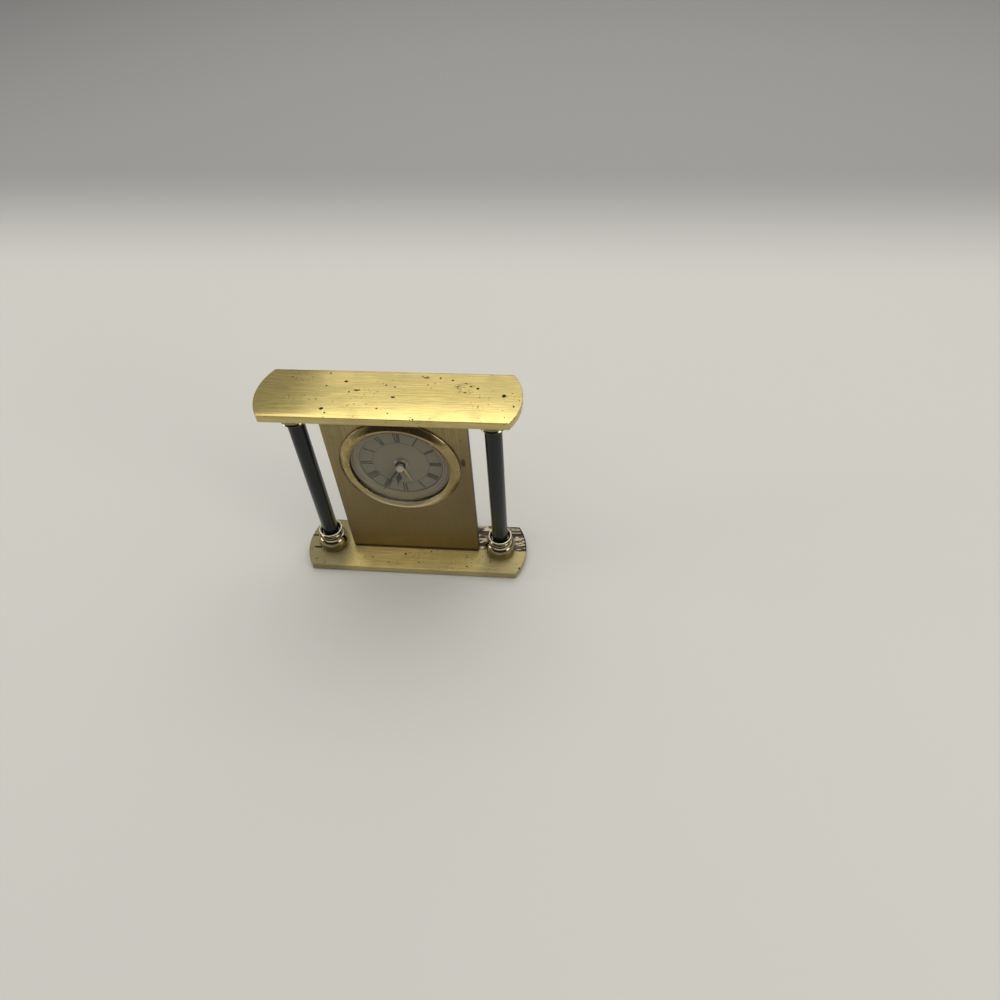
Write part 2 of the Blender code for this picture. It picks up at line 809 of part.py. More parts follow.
def make_hands(face):
    make_hand("alarm_hand", needle_outline(alarm_hand_length, alarm_hand_half_width),
              alarm_hub_radius, alarm_tube_radius + running_gap, alarm_hand_height,
              alarm_hand_angle, "hand_gold", face)
    make_hand("hour_hand", spade_outline(hour_hand_length, hour_spade_at, hour_spade_half_width),
              hour_hub_radius, hour_tube_radius + running_gap, hour_hand_height,
              hour_hand_angle, "hand_black", face)
    make_hand("minute_hand",
              baton_outline(minute_hand_length, minute_hand_half_width, minute_taper_start),
              minute_hub_radius, arbor_radius + running_gap, minute_hand_height,
              minute_hand_angle, "hand_black", face)
    blind = arbor_radius + running_gap
    profile = [(out * cap_radius, cap_bottom + up * cap_height) for out, up in cap_shape]
    profile += [(blind, cap_bottom), (blind, cap_bottom + cap_height / 2),
                (0, cap_bottom + cap_height / 2)]
    turned("hand_cap", profile, "cap_cream", turned_sides, parent=face)


# Case and controls


def make_case(face):
    back = -case_back_depth - case_back_wall
    body_radius = case_inner_radius + case_wall
    shoulder = bezel_back - bezel_skirt_depth - seat_gap
    seat = main_plate_back - seat_gap
    front_bore = main_plate_radius + seat_gap
    profile = [(front_bore, case_rim_height), (case_skirt_radius, case_rim_height),
               (case_skirt_radius, shoulder), (case_outer_radius, shoulder),
               (case_outer_radius, -case_band_depth), (body_radius, -case_taper_depth),
               (body_radius, back + case_back_chamfer), (body_radius - case_back_chamfer, back),
               (0, back), (0, -case_back_depth), (case_inner_radius, -case_back_depth),
               (case_inner_radius, seat), (front_bore, seat)]
    # The profile starts and ends at the front bore, and is closed on the axis
    profile.append(profile[0])
    case = turned("case", profile, "case_black", ring_sides, parent=face)
    through_low = back - case_back_wall
    through_high = -case_back_depth + case_back_wall
    cover_low = cover_top - cover_length
    cut(case,
        drum("time_shaft_hole", knob_shaft_radius + seat_gap, through_low, through_high,
             sides=small_sides, place=(*setting_axis, 0), parent=face),
        drum("alarm_shaft_hole", knob_shaft_radius + seat_gap, through_low, through_high,
             sides=small_sides, place=(*alarm_setting_axis, 0), parent=face),
        block("battery_opening", -cover_half_width - seat_gap, cover_half_width + seat_gap,
              cover_low - seat_gap, cover_top + seat_gap, through_low, through_high, parent=face),
        block("switch_slot", switch_across - switch_stem / 2 - seat_gap,
              switch_across + switch_travel + switch_stem / 2 + seat_gap,
              switch_up - switch_stem / 2 - seat_gap, switch_up + switch_stem / 2 + seat_gap,
              through_low, through_high, parent=face))
    ring = circle(sound_hole_spread, sound_holes, buzzer_across, buzzer_up)
    for number, place in enumerate(ring):
        cut(case, drum(f"sound_hole_{number}", sound_hole_radius, through_low, through_high,
                       sides=small_sides, place=(*place, 0), parent=face))


def make_grip_ring(face):
    front = -panel_thick / 2 - seat_gap
    inner = case_outer_radius + seat_gap
    pipe("grip_ring", grip_ring_radius, inner, front - grip_ring_width, front, "rubber", ring_sides,
         parent=face)


def make_knob(name, axis, teeth, module, gear_depth, phase, face):
    """A ridged knob, its shaft and its pinion, moulded in one."""
    place = (*axis, 0)
    front = -case_back_depth - case_back_wall - knob_gap
    ridges = []
    for point in range(2 * knob_ridges):
        radius = knob_radius - (point % 2) * knob_ridge_height
        for share in (knob_ridge_slope, 1 - knob_ridge_slope):
            angle = pi * (point + share) / knob_ridges
            ridges.append((radius * cos(angle), radius * sin(angle)))
    knob = flat(name, [ridges], front - knob_thick, front, "case_black", place, face)
    shaft = drum(name + "_shaft", knob_shaft_radius, front - knob_thick / 2, -knob_shaft_front,
                 sides=small_sides, place=place, parent=face)
    pinion = flat(name + "_pinion", [tooth_outline(teeth, module, phase)],
                  -gear_depth - wheel_thick, -gear_depth, place=place, parent=face)
    fuse(knob, shaft, pinion)


def make_battery_cover(face):
    """A flap in the back wall; its pivot is its outer top edge."""
    outer = -case_back_depth - case_back_wall
    place = (0, cover_top, outer)
    cover = block("battery_cover", -cover_half_width, cover_half_width, -cover_length, 0, 0,
                  case_back_wall, "case_black", place, face)
    notch = drum("cover_notch", cover_notch_radius, -case_back_wall, case_back_wall / 2,
                 sides=small_sides, place=(0, cover_top - cover_length, outer), parent=face)
    cut(cover, notch)


def make_switch(face):
    """A slide with its grip outside the back wall and its foot inside."""
    wall_out = -case_back_depth - case_back_wall - seat_gap
    wall_in = -case_back_depth + seat_gap
    place = (switch_across, switch_up, 0)
    half = switch_width / 2
    slide = block("alarm_switch", -switch_stem / 2, switch_stem / 2, -switch_stem / 2,
                  switch_stem / 2, wall_out - switch_grip_height / 2,
                  wall_in + switch_foot_height / 2, "case_black", place, face)
    grip = block("switch_grip", -half, half, -half, half, wall_out - switch_grip_height, wall_out,
                 place=place, parent=face)
    foot = block("switch_foot", -half, half, -half, half, wall_in, wall_in + switch_foot_height,
                 place=place, parent=face)
    fuse(slide, grip, foot)


# Movement


def make_wheel(name, teeth, module, depth, thick, phase, axis, finish, face, bore=0.0):
    loops = [tooth_outline(teeth, module, phase)]
    if bore:
        loops.append(circle(bore, small_sides))
    return flat(name, loops, -depth - thick, -depth, finish, (*axis, 0), face)


def make_motion_work(face):
    """Minute arbor, hour wheel, motion wheel and alarm wheel, with both setting knobs."""
    middle = (0, 0)
    cannon_phase = 0.0
    arbor = drum("minute_arbor", arbor_radius, -centre_wheel_depth - 2.5 * train_wheel_thick,
                 cap_bottom + cap_height / 2 - running_gap, "steel", small_sides, parent=face)
    fuse(arbor, make_wheel("cannon_pinion", cannon_teeth, motion_module, motion_wheel_depth,
                           wheel_thick, cannon_phase, middle, None, face))

    motion_phase = mating_phase(cannon_phase, cannon_teeth, motion_teeth, motion_direction)
    pinion_phase = 0.0
    stud_bore = pivot_radius + 2 * running_gap
    motion = make_wheel("motion_wheel", motion_teeth, motion_module, motion_wheel_depth,
                        wheel_thick, motion_phase, motion_axis, "gear_white", face, stud_bore)
    pinion = make_wheel("motion_pinion", motion_pinion_teeth, hour_module, hour_wheel_depth,
                        motion_wheel_depth - hour_wheel_depth + wheel_thick / 2, pinion_phase,
                        motion_axis, None, face, stud_bore)
    fuse(motion, pinion)

    back_direction = motion_direction + 180.0
    hour_phase = mating_phase(pinion_phase, motion_pinion_teeth, hour_teeth, back_direction)
    hour = make_wheel("hour_wheel", hour_teeth, hour_module, hour_wheel_depth, wheel_thick,
                      hour_phase, middle, "gear_white", face, hour_tube_bore + tube_wall / 2)
    fuse(hour, pipe("hour_tube", hour_tube_radius, hour_tube_bore,
                    -hour_wheel_depth - wheel_thick - tube_end, hour_hand_height + hand_thick,
                    sides=small_sides, parent=face))

    alarm_phase = 0.0
    alarm = make_wheel("alarm_wheel", alarm_teeth, alarm_module, alarm_wheel_depth, wheel_thick,
                       alarm_phase, middle, "gear_white", face, alarm_tube_bore + tube_wall / 2)
    fuse(alarm, pipe("alarm_tube", alarm_tube_radius, alarm_tube_bore,
                     -alarm_wheel_depth - wheel_thick - tube_end, alarm_hand_height + hand_thick,
                     sides=small_sides, parent=face))

    setting_phase = mating_phase(motion_phase, motion_teeth, setting_teeth, setting_direction)
    make_knob("time_set_knob", setting_axis, setting_teeth, motion_module, motion_wheel_depth,
              setting_phase, face)
    alarm_knob_phase = mating_phase(alarm_phase, alarm_teeth, alarm_setting_teeth,
                                    alarm_setting_direction)
    make_knob("alarm_set_knob", alarm_setting_axis, alarm_setting_teeth, alarm_module,
              alarm_wheel_depth, alarm_knob_phase, face)


def make_arbor(name, axis, face):
    return drum(name, pivot_radius, -pivot_back, -pivot_front, sides=small_sides, place=(*axis, 0),
                parent=face)


def make_train(face):
    """Going train from the rotor to the centre wheel, which slips on the minute arbor."""
    thin = train_wheel_thick
    overlap = thin / 2
    centre_phase = 0.0
    make_wheel("centre_wheel", centre_teeth, train_module, centre_wheel_depth, thin, centre_phase,
               (0, 0), "gear_white", face, arbor_radius + running_gap)

    third_pinion_phase = mating_phase(centre_phase, centre_teeth, pinion_teeth, third_direction)
    third_phase = 0.0
    third = make_wheel("third_wheel", third_teeth, train_module, third_wheel_depth, thin,
                       third_phase, third_axis, "gear_white", face)
    fuse(third, make_arbor("third_arbor", third_axis, face),
         make_wheel("third_pinion", pinion_teeth, train_module, centre_wheel_depth - overlap / 2,
                    2 * thin, third_pinion_phase, third_axis, None, face))

    seconds_pinion_phase = mating_phase(third_phase, third_teeth, pinion_teeth, seconds_direction)
    seconds_phase = 0.0
    seconds = make_wheel("seconds_wheel", seconds_teeth, train_module, seconds_wheel_depth, thin,
                         seconds_phase, seconds_axis, "gear_white", face)
    pinion_start = seconds_wheel_depth + overlap
    fuse(seconds, make_arbor("seconds_arbor", seconds_axis, face),
         make_wheel("seconds_pinion", pinion_teeth, train_module, pinion_start,
                    third_wheel_depth + 1.5 * thin - pinion_start, seconds_pinion_phase,
                    seconds_axis, None, face))

    intermediate_pinion_phase = mating_phase(seconds_phase, seconds_teeth, pinion_teeth,
                                             intermediate_direction)
    intermediate_phase = 0.0
    intermediate = make_wheel("intermediate_wheel", intermediate_teeth, train_module,
                              centre_wheel_depth, thin, intermediate_phase, intermediate_axis,
                              "gear_white", face)
    pinion_start = centre_wheel_depth + overlap
    fuse(intermediate, make_arbor("intermediate_arbor", intermediate_axis, face),
         make_wheel("intermediate_pinion", pinion_teeth, train_module, pinion_start,
                    seconds_wheel_depth + 1.4 * thin - pinion_start, intermediate_pinion_phase,
                    intermediate_axis, None, face))

    rotor_phase = mating_phase(intermediate_phase, intermediate_teeth, pinion_teeth, rotor_direction)
    rotor = drum("rotor", rotor_radius, -rotor_depth - rotor_thick, -rotor_depth, "magnet",
                 turned_sides, (*rotor_axis, 0), face)
    fuse(rotor, make_arbor("rotor_arbor", rotor_axis, face),
         make_wheel("rotor_pinion", pinion_teeth, train_module, centre_wheel_depth - overlap / 2,
                    2 * thin, rotor_phase, rotor_axis, None, face))


def make_main_plate(face):
    """Round plate behind the dial, with pillars for the train plate and posts for the board."""
    plate = flat("main_plate", [circle(main_plate_radius, ring_sides),
                                circle(alarm_tube_radius + running_gap, turned_sides)],
                 main_plate_back, main_plate_front, "movement_white", parent=face)
    pillar_top = -train_plate_depth + seat_gap
    start = main_plate_back + main_plate_thick / 2
    corners = [(across, up)
               for across in (train_plate_left + pillar_inset, train_plate_right - pillar_inset)
               for up in (train_plate_low + pillar_inset, train_plate_high - pillar_inset)]
    for number, corner in enumerate(corners):
        fuse(plate, drum(f"train_pillar_{number}", pillar_radius, pillar_top, start, sides=small_sides,
                         place=(*corner, 0), parent=face))
    posts = ((train_plate_right + pillar_radius + 2 * seat_gap, board_high - pillar_inset),
             (board_left + 1.5 * pillar_inset, train_plate_low - pillar_radius - 3 * seat_gap),
             (board_right - pillar_inset, board_low + pillar_inset))
    for number, post in enumerate(posts):
        fuse(plate, drum(f"board_post_{number}", pillar_radius, -board_depth + seat_gap, start,
                         sides=small_sides, place=(*post, 0), parent=face))
    boss_back = -battery_depth + 2 * seat_gap + contact_thick
    fuse(plate, drum("battery_boss", battery_button_radius, boss_back, start, sides=turned_sides,
                     place=(0, battery_low, 0), parent=face))
    for number, axis in enumerate((setting_axis, alarm_setting_axis)):
        cut(plate, drum(f"front_pivot_hole_{number}", knob_shaft_radius + seat_gap,
                        main_plate_back - main_plate_thick, main_plate_front + main_plate_thick,
                        sides=small_sides, place=(*axis, 0), parent=face))


def make_train_plate(face):
    front = -train_plate_depth
    back = front - train_plate_thick
    outline = rounded_box(train_plate_left, train_plate_right, train_plate_low, train_plate_high,
                          plate_corner_radius)
    small = pivot_radius + running_gap
    holes = [circle(arbor_radius + running_gap, small_sides)]
    holes += [circle(knob_shaft_radius + seat_gap, small_sides, *axis)
              for axis in (setting_axis, alarm_setting_axis)]
    holes += [circle(small, small_sides, *axis)
              for axis in (third_axis, seconds_axis, intermediate_axis, rotor_axis)]
    plate = flat("train_plate", [outline] + holes, back, front, "movement_white", parent=face)
    start = front - train_plate_thick / 2
    fuse(plate, drum("motion_stud", pivot_radius + running_gap, start, -hour_wheel_depth,
                     sides=small_sides, place=(*motion_axis, 0), parent=face))
    for number, post in enumerate(bridge_posts()):
        fuse(plate, drum(f"bridge_pillar_{number}", pillar_radius, -bridge_depth + seat_gap, start,
                         sides=small_sides, place=(*post, 0), parent=face))
    for number, post in enumerate(stator_posts()):
        fuse(plate, drum(f"stator_post_{number}", 2 * pivot_radius, -stator_depth + seat_gap, start,
                         sides=small_sides, place=(*post, 0), parent=face))


def bridge_posts():
    left = bridge_left + bridge_post_inset
    right = bridge_right - pillar_radius
    low = bridge_low + pillar_radius
    return ((left, low), (right, low), (left, bridge_post_high_left), (right, bridge_post_high_right))


def stator_posts():
    rotor_across, rotor_up = rotor_axis
    return ((rotor_across - stator_post_left, rotor_up + stator_post_left_high),
            (core_half_length - stator_foot_width / 2, rotor_up + stator_post_right_high))


def make_bridge(face):
    outline = rounded_box(bridge_left, bridge_right, bridge_low, bridge_high, plate_corner_radius)
    small = pivot_radius + running_gap
    holes = [circle(knob_shaft_radius + seat_gap, small_sides, *alarm_setting_axis)]
    holes += [circle(small, small_sides, *axis)
              for axis in (third_axis, seconds_axis, intermediate_axis, rotor_axis)]
    flat("train_bridge", [outline] + holes, -bridge_depth - bridge_thick, -bridge_depth,
         "movement_white", parent=face)


def make_motor(face):
    """Stator plate round the rotor, and the coil on its core above it."""
    rotor_across, rotor_up = rotor_axis
    hole = rotor_radius + seat_gap
    ring = hole + stator_ring_wall
    low = -stator_depth - stator_thick
    high = -stator_depth
    arm_low = rotor_up + stator_arm_low
    foot_high = coil_height + stator_foot_width / 2
    stator = drum("stator", ring, low, high, "steel", turned_sides, (*rotor_axis, 0), face)
    left_foot = -core_half_length - stator_foot_reach
    fuse(stator,
         block("stator_left_arm", left_foot, left_foot + stator_foot_width,
               arm_low - stator_step, foot_high, low, high, parent=face),
         block("stator_right_arm", rotor_across + stator_arm_start, core_half_length,
               arm_low, arm_low + stator_arm_height, low, high, parent=face),
         block("stator_right_foot", core_half_length - stator_foot_width,
               core_half_length + stator_step, arm_low + stator_step, foot_high, low, high,
               parent=face))
    cut(stator, drum("stator_hole", hole, low - stator_thick, high + stator_thick,
                     place=(*rotor_axis, 0), parent=face))
    block("coil_core", -core_half_length, core_half_length, coil_height - core_width / 2,
          coil_height + core_width / 2, -core_depth - core_thick, -core_depth, "steel", parent=face)
    middle = -core_depth - core_thick / 2
    bore = hypot(core_width, core_thick) / 2 + running_gap
    flange = coil_flange
    profile = [(coil_radius, coil_half_length), (coil_radius, coil_half_length - flange),
               (coil_radius - flange, coil_half_length - flange),
               (coil_radius - flange, flange - coil_half_length),
               (coil_radius, flange - coil_half_length), (coil_radius, -coil_half_length),
               (bore, -coil_half_length), (bore, coil_half_length)]
    coil = turned("coil", profile, "copper", turned_sides, True, (0, coil_height, middle), face)
    coil.rotation_euler.y = pi / 2


def make_electrics(face):
    board_back = -board_depth - board_thick
    outline = rounded_box(board_left, board_right, board_low, board_high, board_corner_radius)
    board = flat("circuit_board", [outline], board_back, -board_depth, "circuit_green", parent=face)
    chip_across = board_right - 2 * chip_half_width
    chip_up = board_low + 2 * chip_half_width
    fuse(board, block("chip", chip_across - chip_half_width, chip_across + chip_half_width,
                      chip_up - chip_half_width, chip_up + chip_half_width,
                      board_back - chip_height, board_back + board_thick / 2, parent=face))
    crystal = turned("quartz_crystal",
                     [(0, crystal_length / 2), (crystal_radius, crystal_length / 2),
                      (crystal_radius, -crystal_length / 2), (0, -crystal_length / 2)],
                     "battery_steel", small_sides, False,
                     (board_left + crystal_radius + seat_gap,
                      board_high - crystal_length / 2 - crystal_inset,
                      board_back - crystal_radius - seat_gap), face)
    crystal.rotation_euler.x = pi / 2

    battery_back = -battery_depth - battery_thick
    rim = battery_rim
    turned("battery", [(0, -battery_depth), (battery_button_radius, -battery_depth),
                       (battery_button_radius, -battery_depth - rim),
                       (battery_radius - rim, -battery_depth - rim),
                       (battery_radius, -battery_depth - 2 * rim),
                       (battery_radius, battery_back), (0, battery_back)],
           "battery_steel", turned_sides, place=(0, battery_low, 0), parent=face)
    make_contacts(face)

    front = -case_back_depth + seat_gap
    turned("buzzer", [(0, front + buzzer_thick), (buzzer_face_radius, front + buzzer_thick),
                      (buzzer_radius, front + buzzer_edge_thick), (buzzer_radius, front),
                      (0, front)],
           "hand_gold", turned_sides, place=(buzzer_across, buzzer_up, 0), parent=face)


def make_contacts(face):
    """Two bent strips from the battery to the board."""
    board_front = -board_depth + seat_gap
    leaf_back = -battery_depth + seat_gap
    end = board_left + contact_width
    minus = block("battery_contact_minus", -contact_width, end, battery_low - contact_width / 2,
                  battery_low + contact_width / 2, leaf_back, leaf_back + contact_thick, "steel",
                  parent=face)
    fuse(minus, block("minus_tab", end - contact_thick, end + fusing_step,
                      battery_low + contact_width / 4, battery_low + contact_width / 2 + fusing_step,
                      board_front, leaf_back + contact_thick / 2, parent=face))
    side = battery_radius + seat_gap
    low = battery_low + contact_width / 2 + seat_gap
    plus = block("battery_contact_plus", side, side + contact_thick, battery_low - contact_width,
                 low + contact_width, -battery_depth - contact_plus_height,
                 -board_depth + contact_thick + seat_gap, "steel", parent=face)
    fuse(plus, block("plus_tab", side + contact_thick / 2, board_left + contact_width / 2,
                     low, low + contact_width - fusing_step, board_front, board_front + contact_thick,
                     parent=face))


def main():
    for old in list(bpy.data.objects):
        bpy.data.objects.remove(old)
    bpy.context.scene.collection.children.link(parts)
    bpy.context.scene.collection.children.link(cutters)
    make_finishes()
    face = bpy.data.objects.new("clock_face_axis", None)
    face.location = (0, 0, clock_height)
    face.rotation_euler.x = pi / 2
    parts.objects.link(face)
    make_bars()
    make_pad()
    make_columns()
    make_fixings()
    make_panel(face)
    make_bezel(face)
    make_lens(face)
    make_dial(face)
    make_hands(face)
    make_case(face)
    make_grip_ring(face)
    make_battery_cover(face)
    make_switch(face)
    make_main_plate(face)
    make_train_plate(face)
    make_bridge(face)
    make_motion_work(face)
    make_train(face)
    make_motor(face)
    make_electrics(face)


main()
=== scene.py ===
"""Looks of a desk alarm clock: brass bars, dark columns, turned collars and a round quartz alarm insert."""

from math import asin, cos, pi, radians, sin, sqrt, tau

import bmesh
import bpy
from mathutils import Matrix, Vector


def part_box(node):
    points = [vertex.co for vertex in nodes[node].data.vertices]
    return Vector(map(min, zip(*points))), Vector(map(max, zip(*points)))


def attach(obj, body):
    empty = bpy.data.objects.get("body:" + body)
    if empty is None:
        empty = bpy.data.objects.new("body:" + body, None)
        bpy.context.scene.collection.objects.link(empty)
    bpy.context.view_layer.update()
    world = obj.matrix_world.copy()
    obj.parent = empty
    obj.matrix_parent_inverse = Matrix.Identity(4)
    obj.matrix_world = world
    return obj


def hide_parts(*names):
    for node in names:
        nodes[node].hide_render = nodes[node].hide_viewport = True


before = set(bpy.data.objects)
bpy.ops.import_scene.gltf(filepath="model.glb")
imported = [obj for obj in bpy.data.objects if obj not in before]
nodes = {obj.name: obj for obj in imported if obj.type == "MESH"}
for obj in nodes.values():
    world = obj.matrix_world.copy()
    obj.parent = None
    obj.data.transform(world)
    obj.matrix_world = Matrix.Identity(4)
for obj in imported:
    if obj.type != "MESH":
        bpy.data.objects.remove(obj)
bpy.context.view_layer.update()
mm = 0.001


# Objects


def plain_mesh(holder):
    """The mesh of an object as its modifiers leave it."""
    bpy.context.view_layer.update()
    return bpy.data.meshes.new_from_object(holder.evaluated_get(bpy.context.evaluated_depsgraph_get()))


def placed(name, data):
    """A new object in the scene."""
    made = bpy.data.objects.new(name, data)
    bpy.context.scene.collection.objects.link(made)
    return made


# Networks of nodes, for finishes and for repeated shapes


def operator(operation, reflected=False):
    """A method that adds one Math node for an operator."""
    def act(field, other=0.0):
        first, second = (other, field) if reflected else (field, other)
        return field.network.sum(operation, first, second)
    return act


class Field:
    """A value or colour inside a network that takes part in sums."""

    __add__ = operator("ADD")
    __radd__ = operator("ADD", reflected=True)
    __sub__ = operator("SUBTRACT")
    __rsub__ = operator("SUBTRACT", reflected=True)
    __mul__ = operator("MULTIPLY")
    __rmul__ = operator("MULTIPLY", reflected=True)
    __truediv__ = operator("DIVIDE")
    __gt__ = operator("GREATER_THAN")
    __abs__ = operator("ABSOLUTE")
    at_least = operator("MAXIMUM")

    def __init__(self, network, socket):
        self.network = network
        self.socket = socket

    def fade(self, start, end, low=0.0, high=1.0):
        """A soft step from low to high between two values."""
        return self.network.node("ShaderNodeMapRange", {"Value": self, "From Min": start, "From Max": end,
                                                        "To Min": low, "To Max": high},
                                 interpolation_type="SMOOTHSTEP")


class Network:
    """A node tree that is filled by short calls."""

    def node(self, kind, sockets=None, output=0, **settings):
        """A new node: values or fields for its sockets, then its settings by name."""
        made = self.tree.nodes.new(kind)
        for setting, value in settings.items():
            setattr(made, setting, value)
        for name, value in (sockets or {}).items():
            if isinstance(value, Field):
                self.tree.links.new(value.socket, made.inputs[name])
            else:
                made.inputs[name].default_value = value
        return Field(self, made.outputs[output])

    def sum(self, operation, first, second):
        return self.node("ShaderNodeMath", {0: first, 1: second}, operation=operation)

    def parts_of(self, vector):
        split = self.node("ShaderNodeSeparateXYZ", {0: vector})
        return [Field(self, socket) for socket in split.socket.node.outputs]


class Finish(Network):
    """A material with a Principled shader, whose patterns sit in the clock's own space."""

    def __init__(self, name, roughness, metallic=0.0, **fixed):
        self.material = bpy.data.materials.new(name)
        self.material.use_nodes = True
        self.tree = self.material.node_tree
        self.shader = self.tree.nodes["Principled BSDF"]
        self.shader.inputs["Roughness"].default_value = roughness
        self.shader.inputs["Metallic"].default_value = metallic
        for socket, value in fixed.items():
            self.shader.inputs[socket.replace("_", " ")].default_value = value
        self.where = self.node("ShaderNodeTexCoord", output="Object")

    def grain(self, size, detail=2.0, wander=0.0):
        """Noise whose patches have the given size along X, Y and Z."""
        scale = (1 / size,) * 3 if isinstance(size, float) else tuple(1 / side for side in size)
        spread = self.node("ShaderNodeMapping", {"Vector": self.where, "Scale": scale})
        return self.node("ShaderNodeTexNoise",
                         {"Vector": spread, "Scale": 1.0, "Detail": detail, "Distortion": wander})

    def cells(self, size, output):
        spread = self.node("ShaderNodeMapping", {"Vector": self.where, "Scale": (1 / size,) * 3})
        return self.node("ShaderNodeTexVoronoi", {"Vector": spread, "Scale": 1.0}, output)

    def specks(self, size, share, smallest, largest):
        """Round specks, one at most in each cell, in a share of the cells."""
        chance, bulk = self.parts_of(self.cells(size, "Color"))[:2]
        radius = smallest / size + (largest - smallest) / size * bulk * bulk
        near = self.cells(size, "Distance")
        return (chance > 1 - share) * (1 - (near / radius).fade(0.75, 1.0))

    def spot(self, place, radii):
        """A soft ellipse at a place on the clock, ragged at its edge."""
        away = self.node("ShaderNodeVectorMath", {0: self.where, 1: place}, operation="SUBTRACT")
        part = self.node("ShaderNodeVectorMath", {0: away, 1: radii}, operation="DIVIDE")
        length = self.node("ShaderNodeVectorMath", {0: part}, "Value", operation="LENGTH")
        return 1 - (length + 0.5 * (self.grain(0.5 * mm) - 0.5)).fade(0.9, 1.2)

    def blend(self, share, first, second):
        """Two colours mixed by a share from 0 to 1."""
        colors = [color if isinstance(color, Field) else (*color, 1.0) for color in (first, second)]
        return self.node("ShaderNodeMix", {0: share, 6: colors[0], 7: colors[1]}, 2, data_type="RGBA")

    def set(self, socket, value):
        if isinstance(value, Field):
            self.tree.links.new(value.socket, self.shader.inputs[socket])
        else:
            self.shader.inputs[socket].default_value = value

    def paint(self, color, roughness=None):
        self.set("Base Color", color if isinstance(color, Field) else (*color, 1.0))
        if roughness is not None:
            self.set("Roughness", roughness)

    def emboss(self, height, depth):
        """Height from 0 to 1 as relief of the given depth."""
        self.set("Normal", self.node("ShaderNodeBump", {"Height": height, "Distance": depth}))


class Pattern(Network):
    """A Geometry Nodes tree that repeats the shape it is put on."""

    def __init__(self, name, inputs):
        self.tree = bpy.data.node_groups.new(name, "GeometryNodeTree")
        self.tree.is_modifier = True
        self.tree.interface.new_socket("Shape", in_out="OUTPUT", socket_type="NodeSocketGeometry")
        self.tree.interface.new_socket("Shape", in_out="INPUT", socket_type="NodeSocketGeometry")
        for label, kind in inputs.items():
            self.tree.interface.new_socket(label, in_out="INPUT", socket_type="NodeSocket" + kind)
        self.tree.interface.new_socket("Finish", in_out="INPUT", socket_type="NodeSocketMaterial")
        self.entry = self.tree.nodes.new("NodeGroupInput")

    def given(self, label):
        return Field(self, self.entry.outputs[label])

    def close(self, copies):
        """End the tree in plain faces of the given finish."""
        plain = self.node("GeometryNodeRealizeInstances", {0: copies})
        finished = self.node("GeometryNodeSetMaterial", {"Geometry": plain, "Material": self.given("Finish")})
        end = self.tree.nodes.new("NodeGroupOutput")
        self.tree.links.new(finished.socket, end.inputs[0])

    def grow(self, mesh, **values):
        """The plain mesh that the pattern makes of a shape."""
        holder = placed("pattern_holder", mesh)
        modifier = holder.modifiers.new("pattern", "NODES")
        modifier.node_group = self.tree
        for item in self.tree.interface.items_tree:
            if item.item_type == "SOCKET" and item.in_out == "INPUT" and item.name in values:
                modifier[item.identifier] = values[item.name]
        grown = plain_mesh(holder)
        holder.modifiers.remove(modifier)
        bpy.data.objects.remove(holder)
        return dressed(grown, values["Finish"])


def ring_pattern():
    """Copies round the Z axis, each turned to face outwards."""
    ring = Pattern("copies_in_a_ring", {"Count": "Int", "Radius": "Float"})
    count = ring.given("Count")
    points = ring.node("GeometryNodeMeshCircle", {"Vertices": count, "Radius": ring.given("Radius")})
    turn = ring.node("GeometryNodeInputIndex") * tau / count
    facing = ring.node("ShaderNodeCombineXYZ", {"Z": turn})
    ring.close(ring.node("GeometryNodeInstanceOnPoints",
                         {"Points": points, "Instance": ring.given("Shape"), "Rotation": facing}))
    return ring


def row_pattern():
    """Copies in a straight row."""
    row = Pattern("copies_in_a_row", {"Count": "Int", "Start": "Vector", "Step": "Vector"})
    points = row.node("GeometryNodeMeshLine",
                      {"Count": row.given("Count"), "Start Location": row.given("Start"),
                       "Offset": row.given("Step")})
    row.close(row.node("GeometryNodeInstanceOnPoints", {"Points": points, "Instance": row.given("Shape")}))
    return row


def collar_pattern():
    """Collars at the foot and, upside down, at the head of both columns."""
    pairs = Pattern("collars_of_two_columns", {"Spread": "Float", "Foot": "Float", "Head": "Float"})
    spread = pairs.given("Spread")
    both = []
    for level, turn in (("Foot", 0.0), ("Head", pi)):
        start = pairs.node("ShaderNodeCombineXYZ", {"X": 0 - spread, "Z": pairs.given(level)})
        step = pairs.node("ShaderNodeCombineXYZ", {"X": 2 * spread})
        points = pairs.node("GeometryNodeMeshLine", {"Count": 2, "Start Location": start, "Offset": step})
        both.append(pairs.node("GeometryNodeInstanceOnPoints",
                               {"Points": points, "Instance": pairs.given("Shape"),
                                "Rotation": (turn, 0.0, 0.0)}))
    four = pairs.node("GeometryNodeJoinGeometry", {0: both[0]})
    pairs.tree.links.new(both[1].socket, four.socket.node.inputs[0])
    pairs.close(four)
    return pairs


# Shapes


smooth_angle = radians(32)


def shares(count, first=1):
    """Even steps that end at 1."""
    return [step / count for step in range(first, count + 1)]


def settled(work):
    """A bmesh as a welded mesh that faces outwards and is smooth up to an angle."""
    bmesh.ops.remove_doubles(work, verts=work.verts, dist=0.0005 * mm)
    bmesh.ops.recalc_face_normals(work, faces=work.faces)
    mesh = bpy.data.meshes.new("shape")
    work.to_mesh(mesh)
    work.free()
    mesh.shade_smooth()
    mesh.set_sharp_from_angle(angle=smooth_angle)
    return mesh


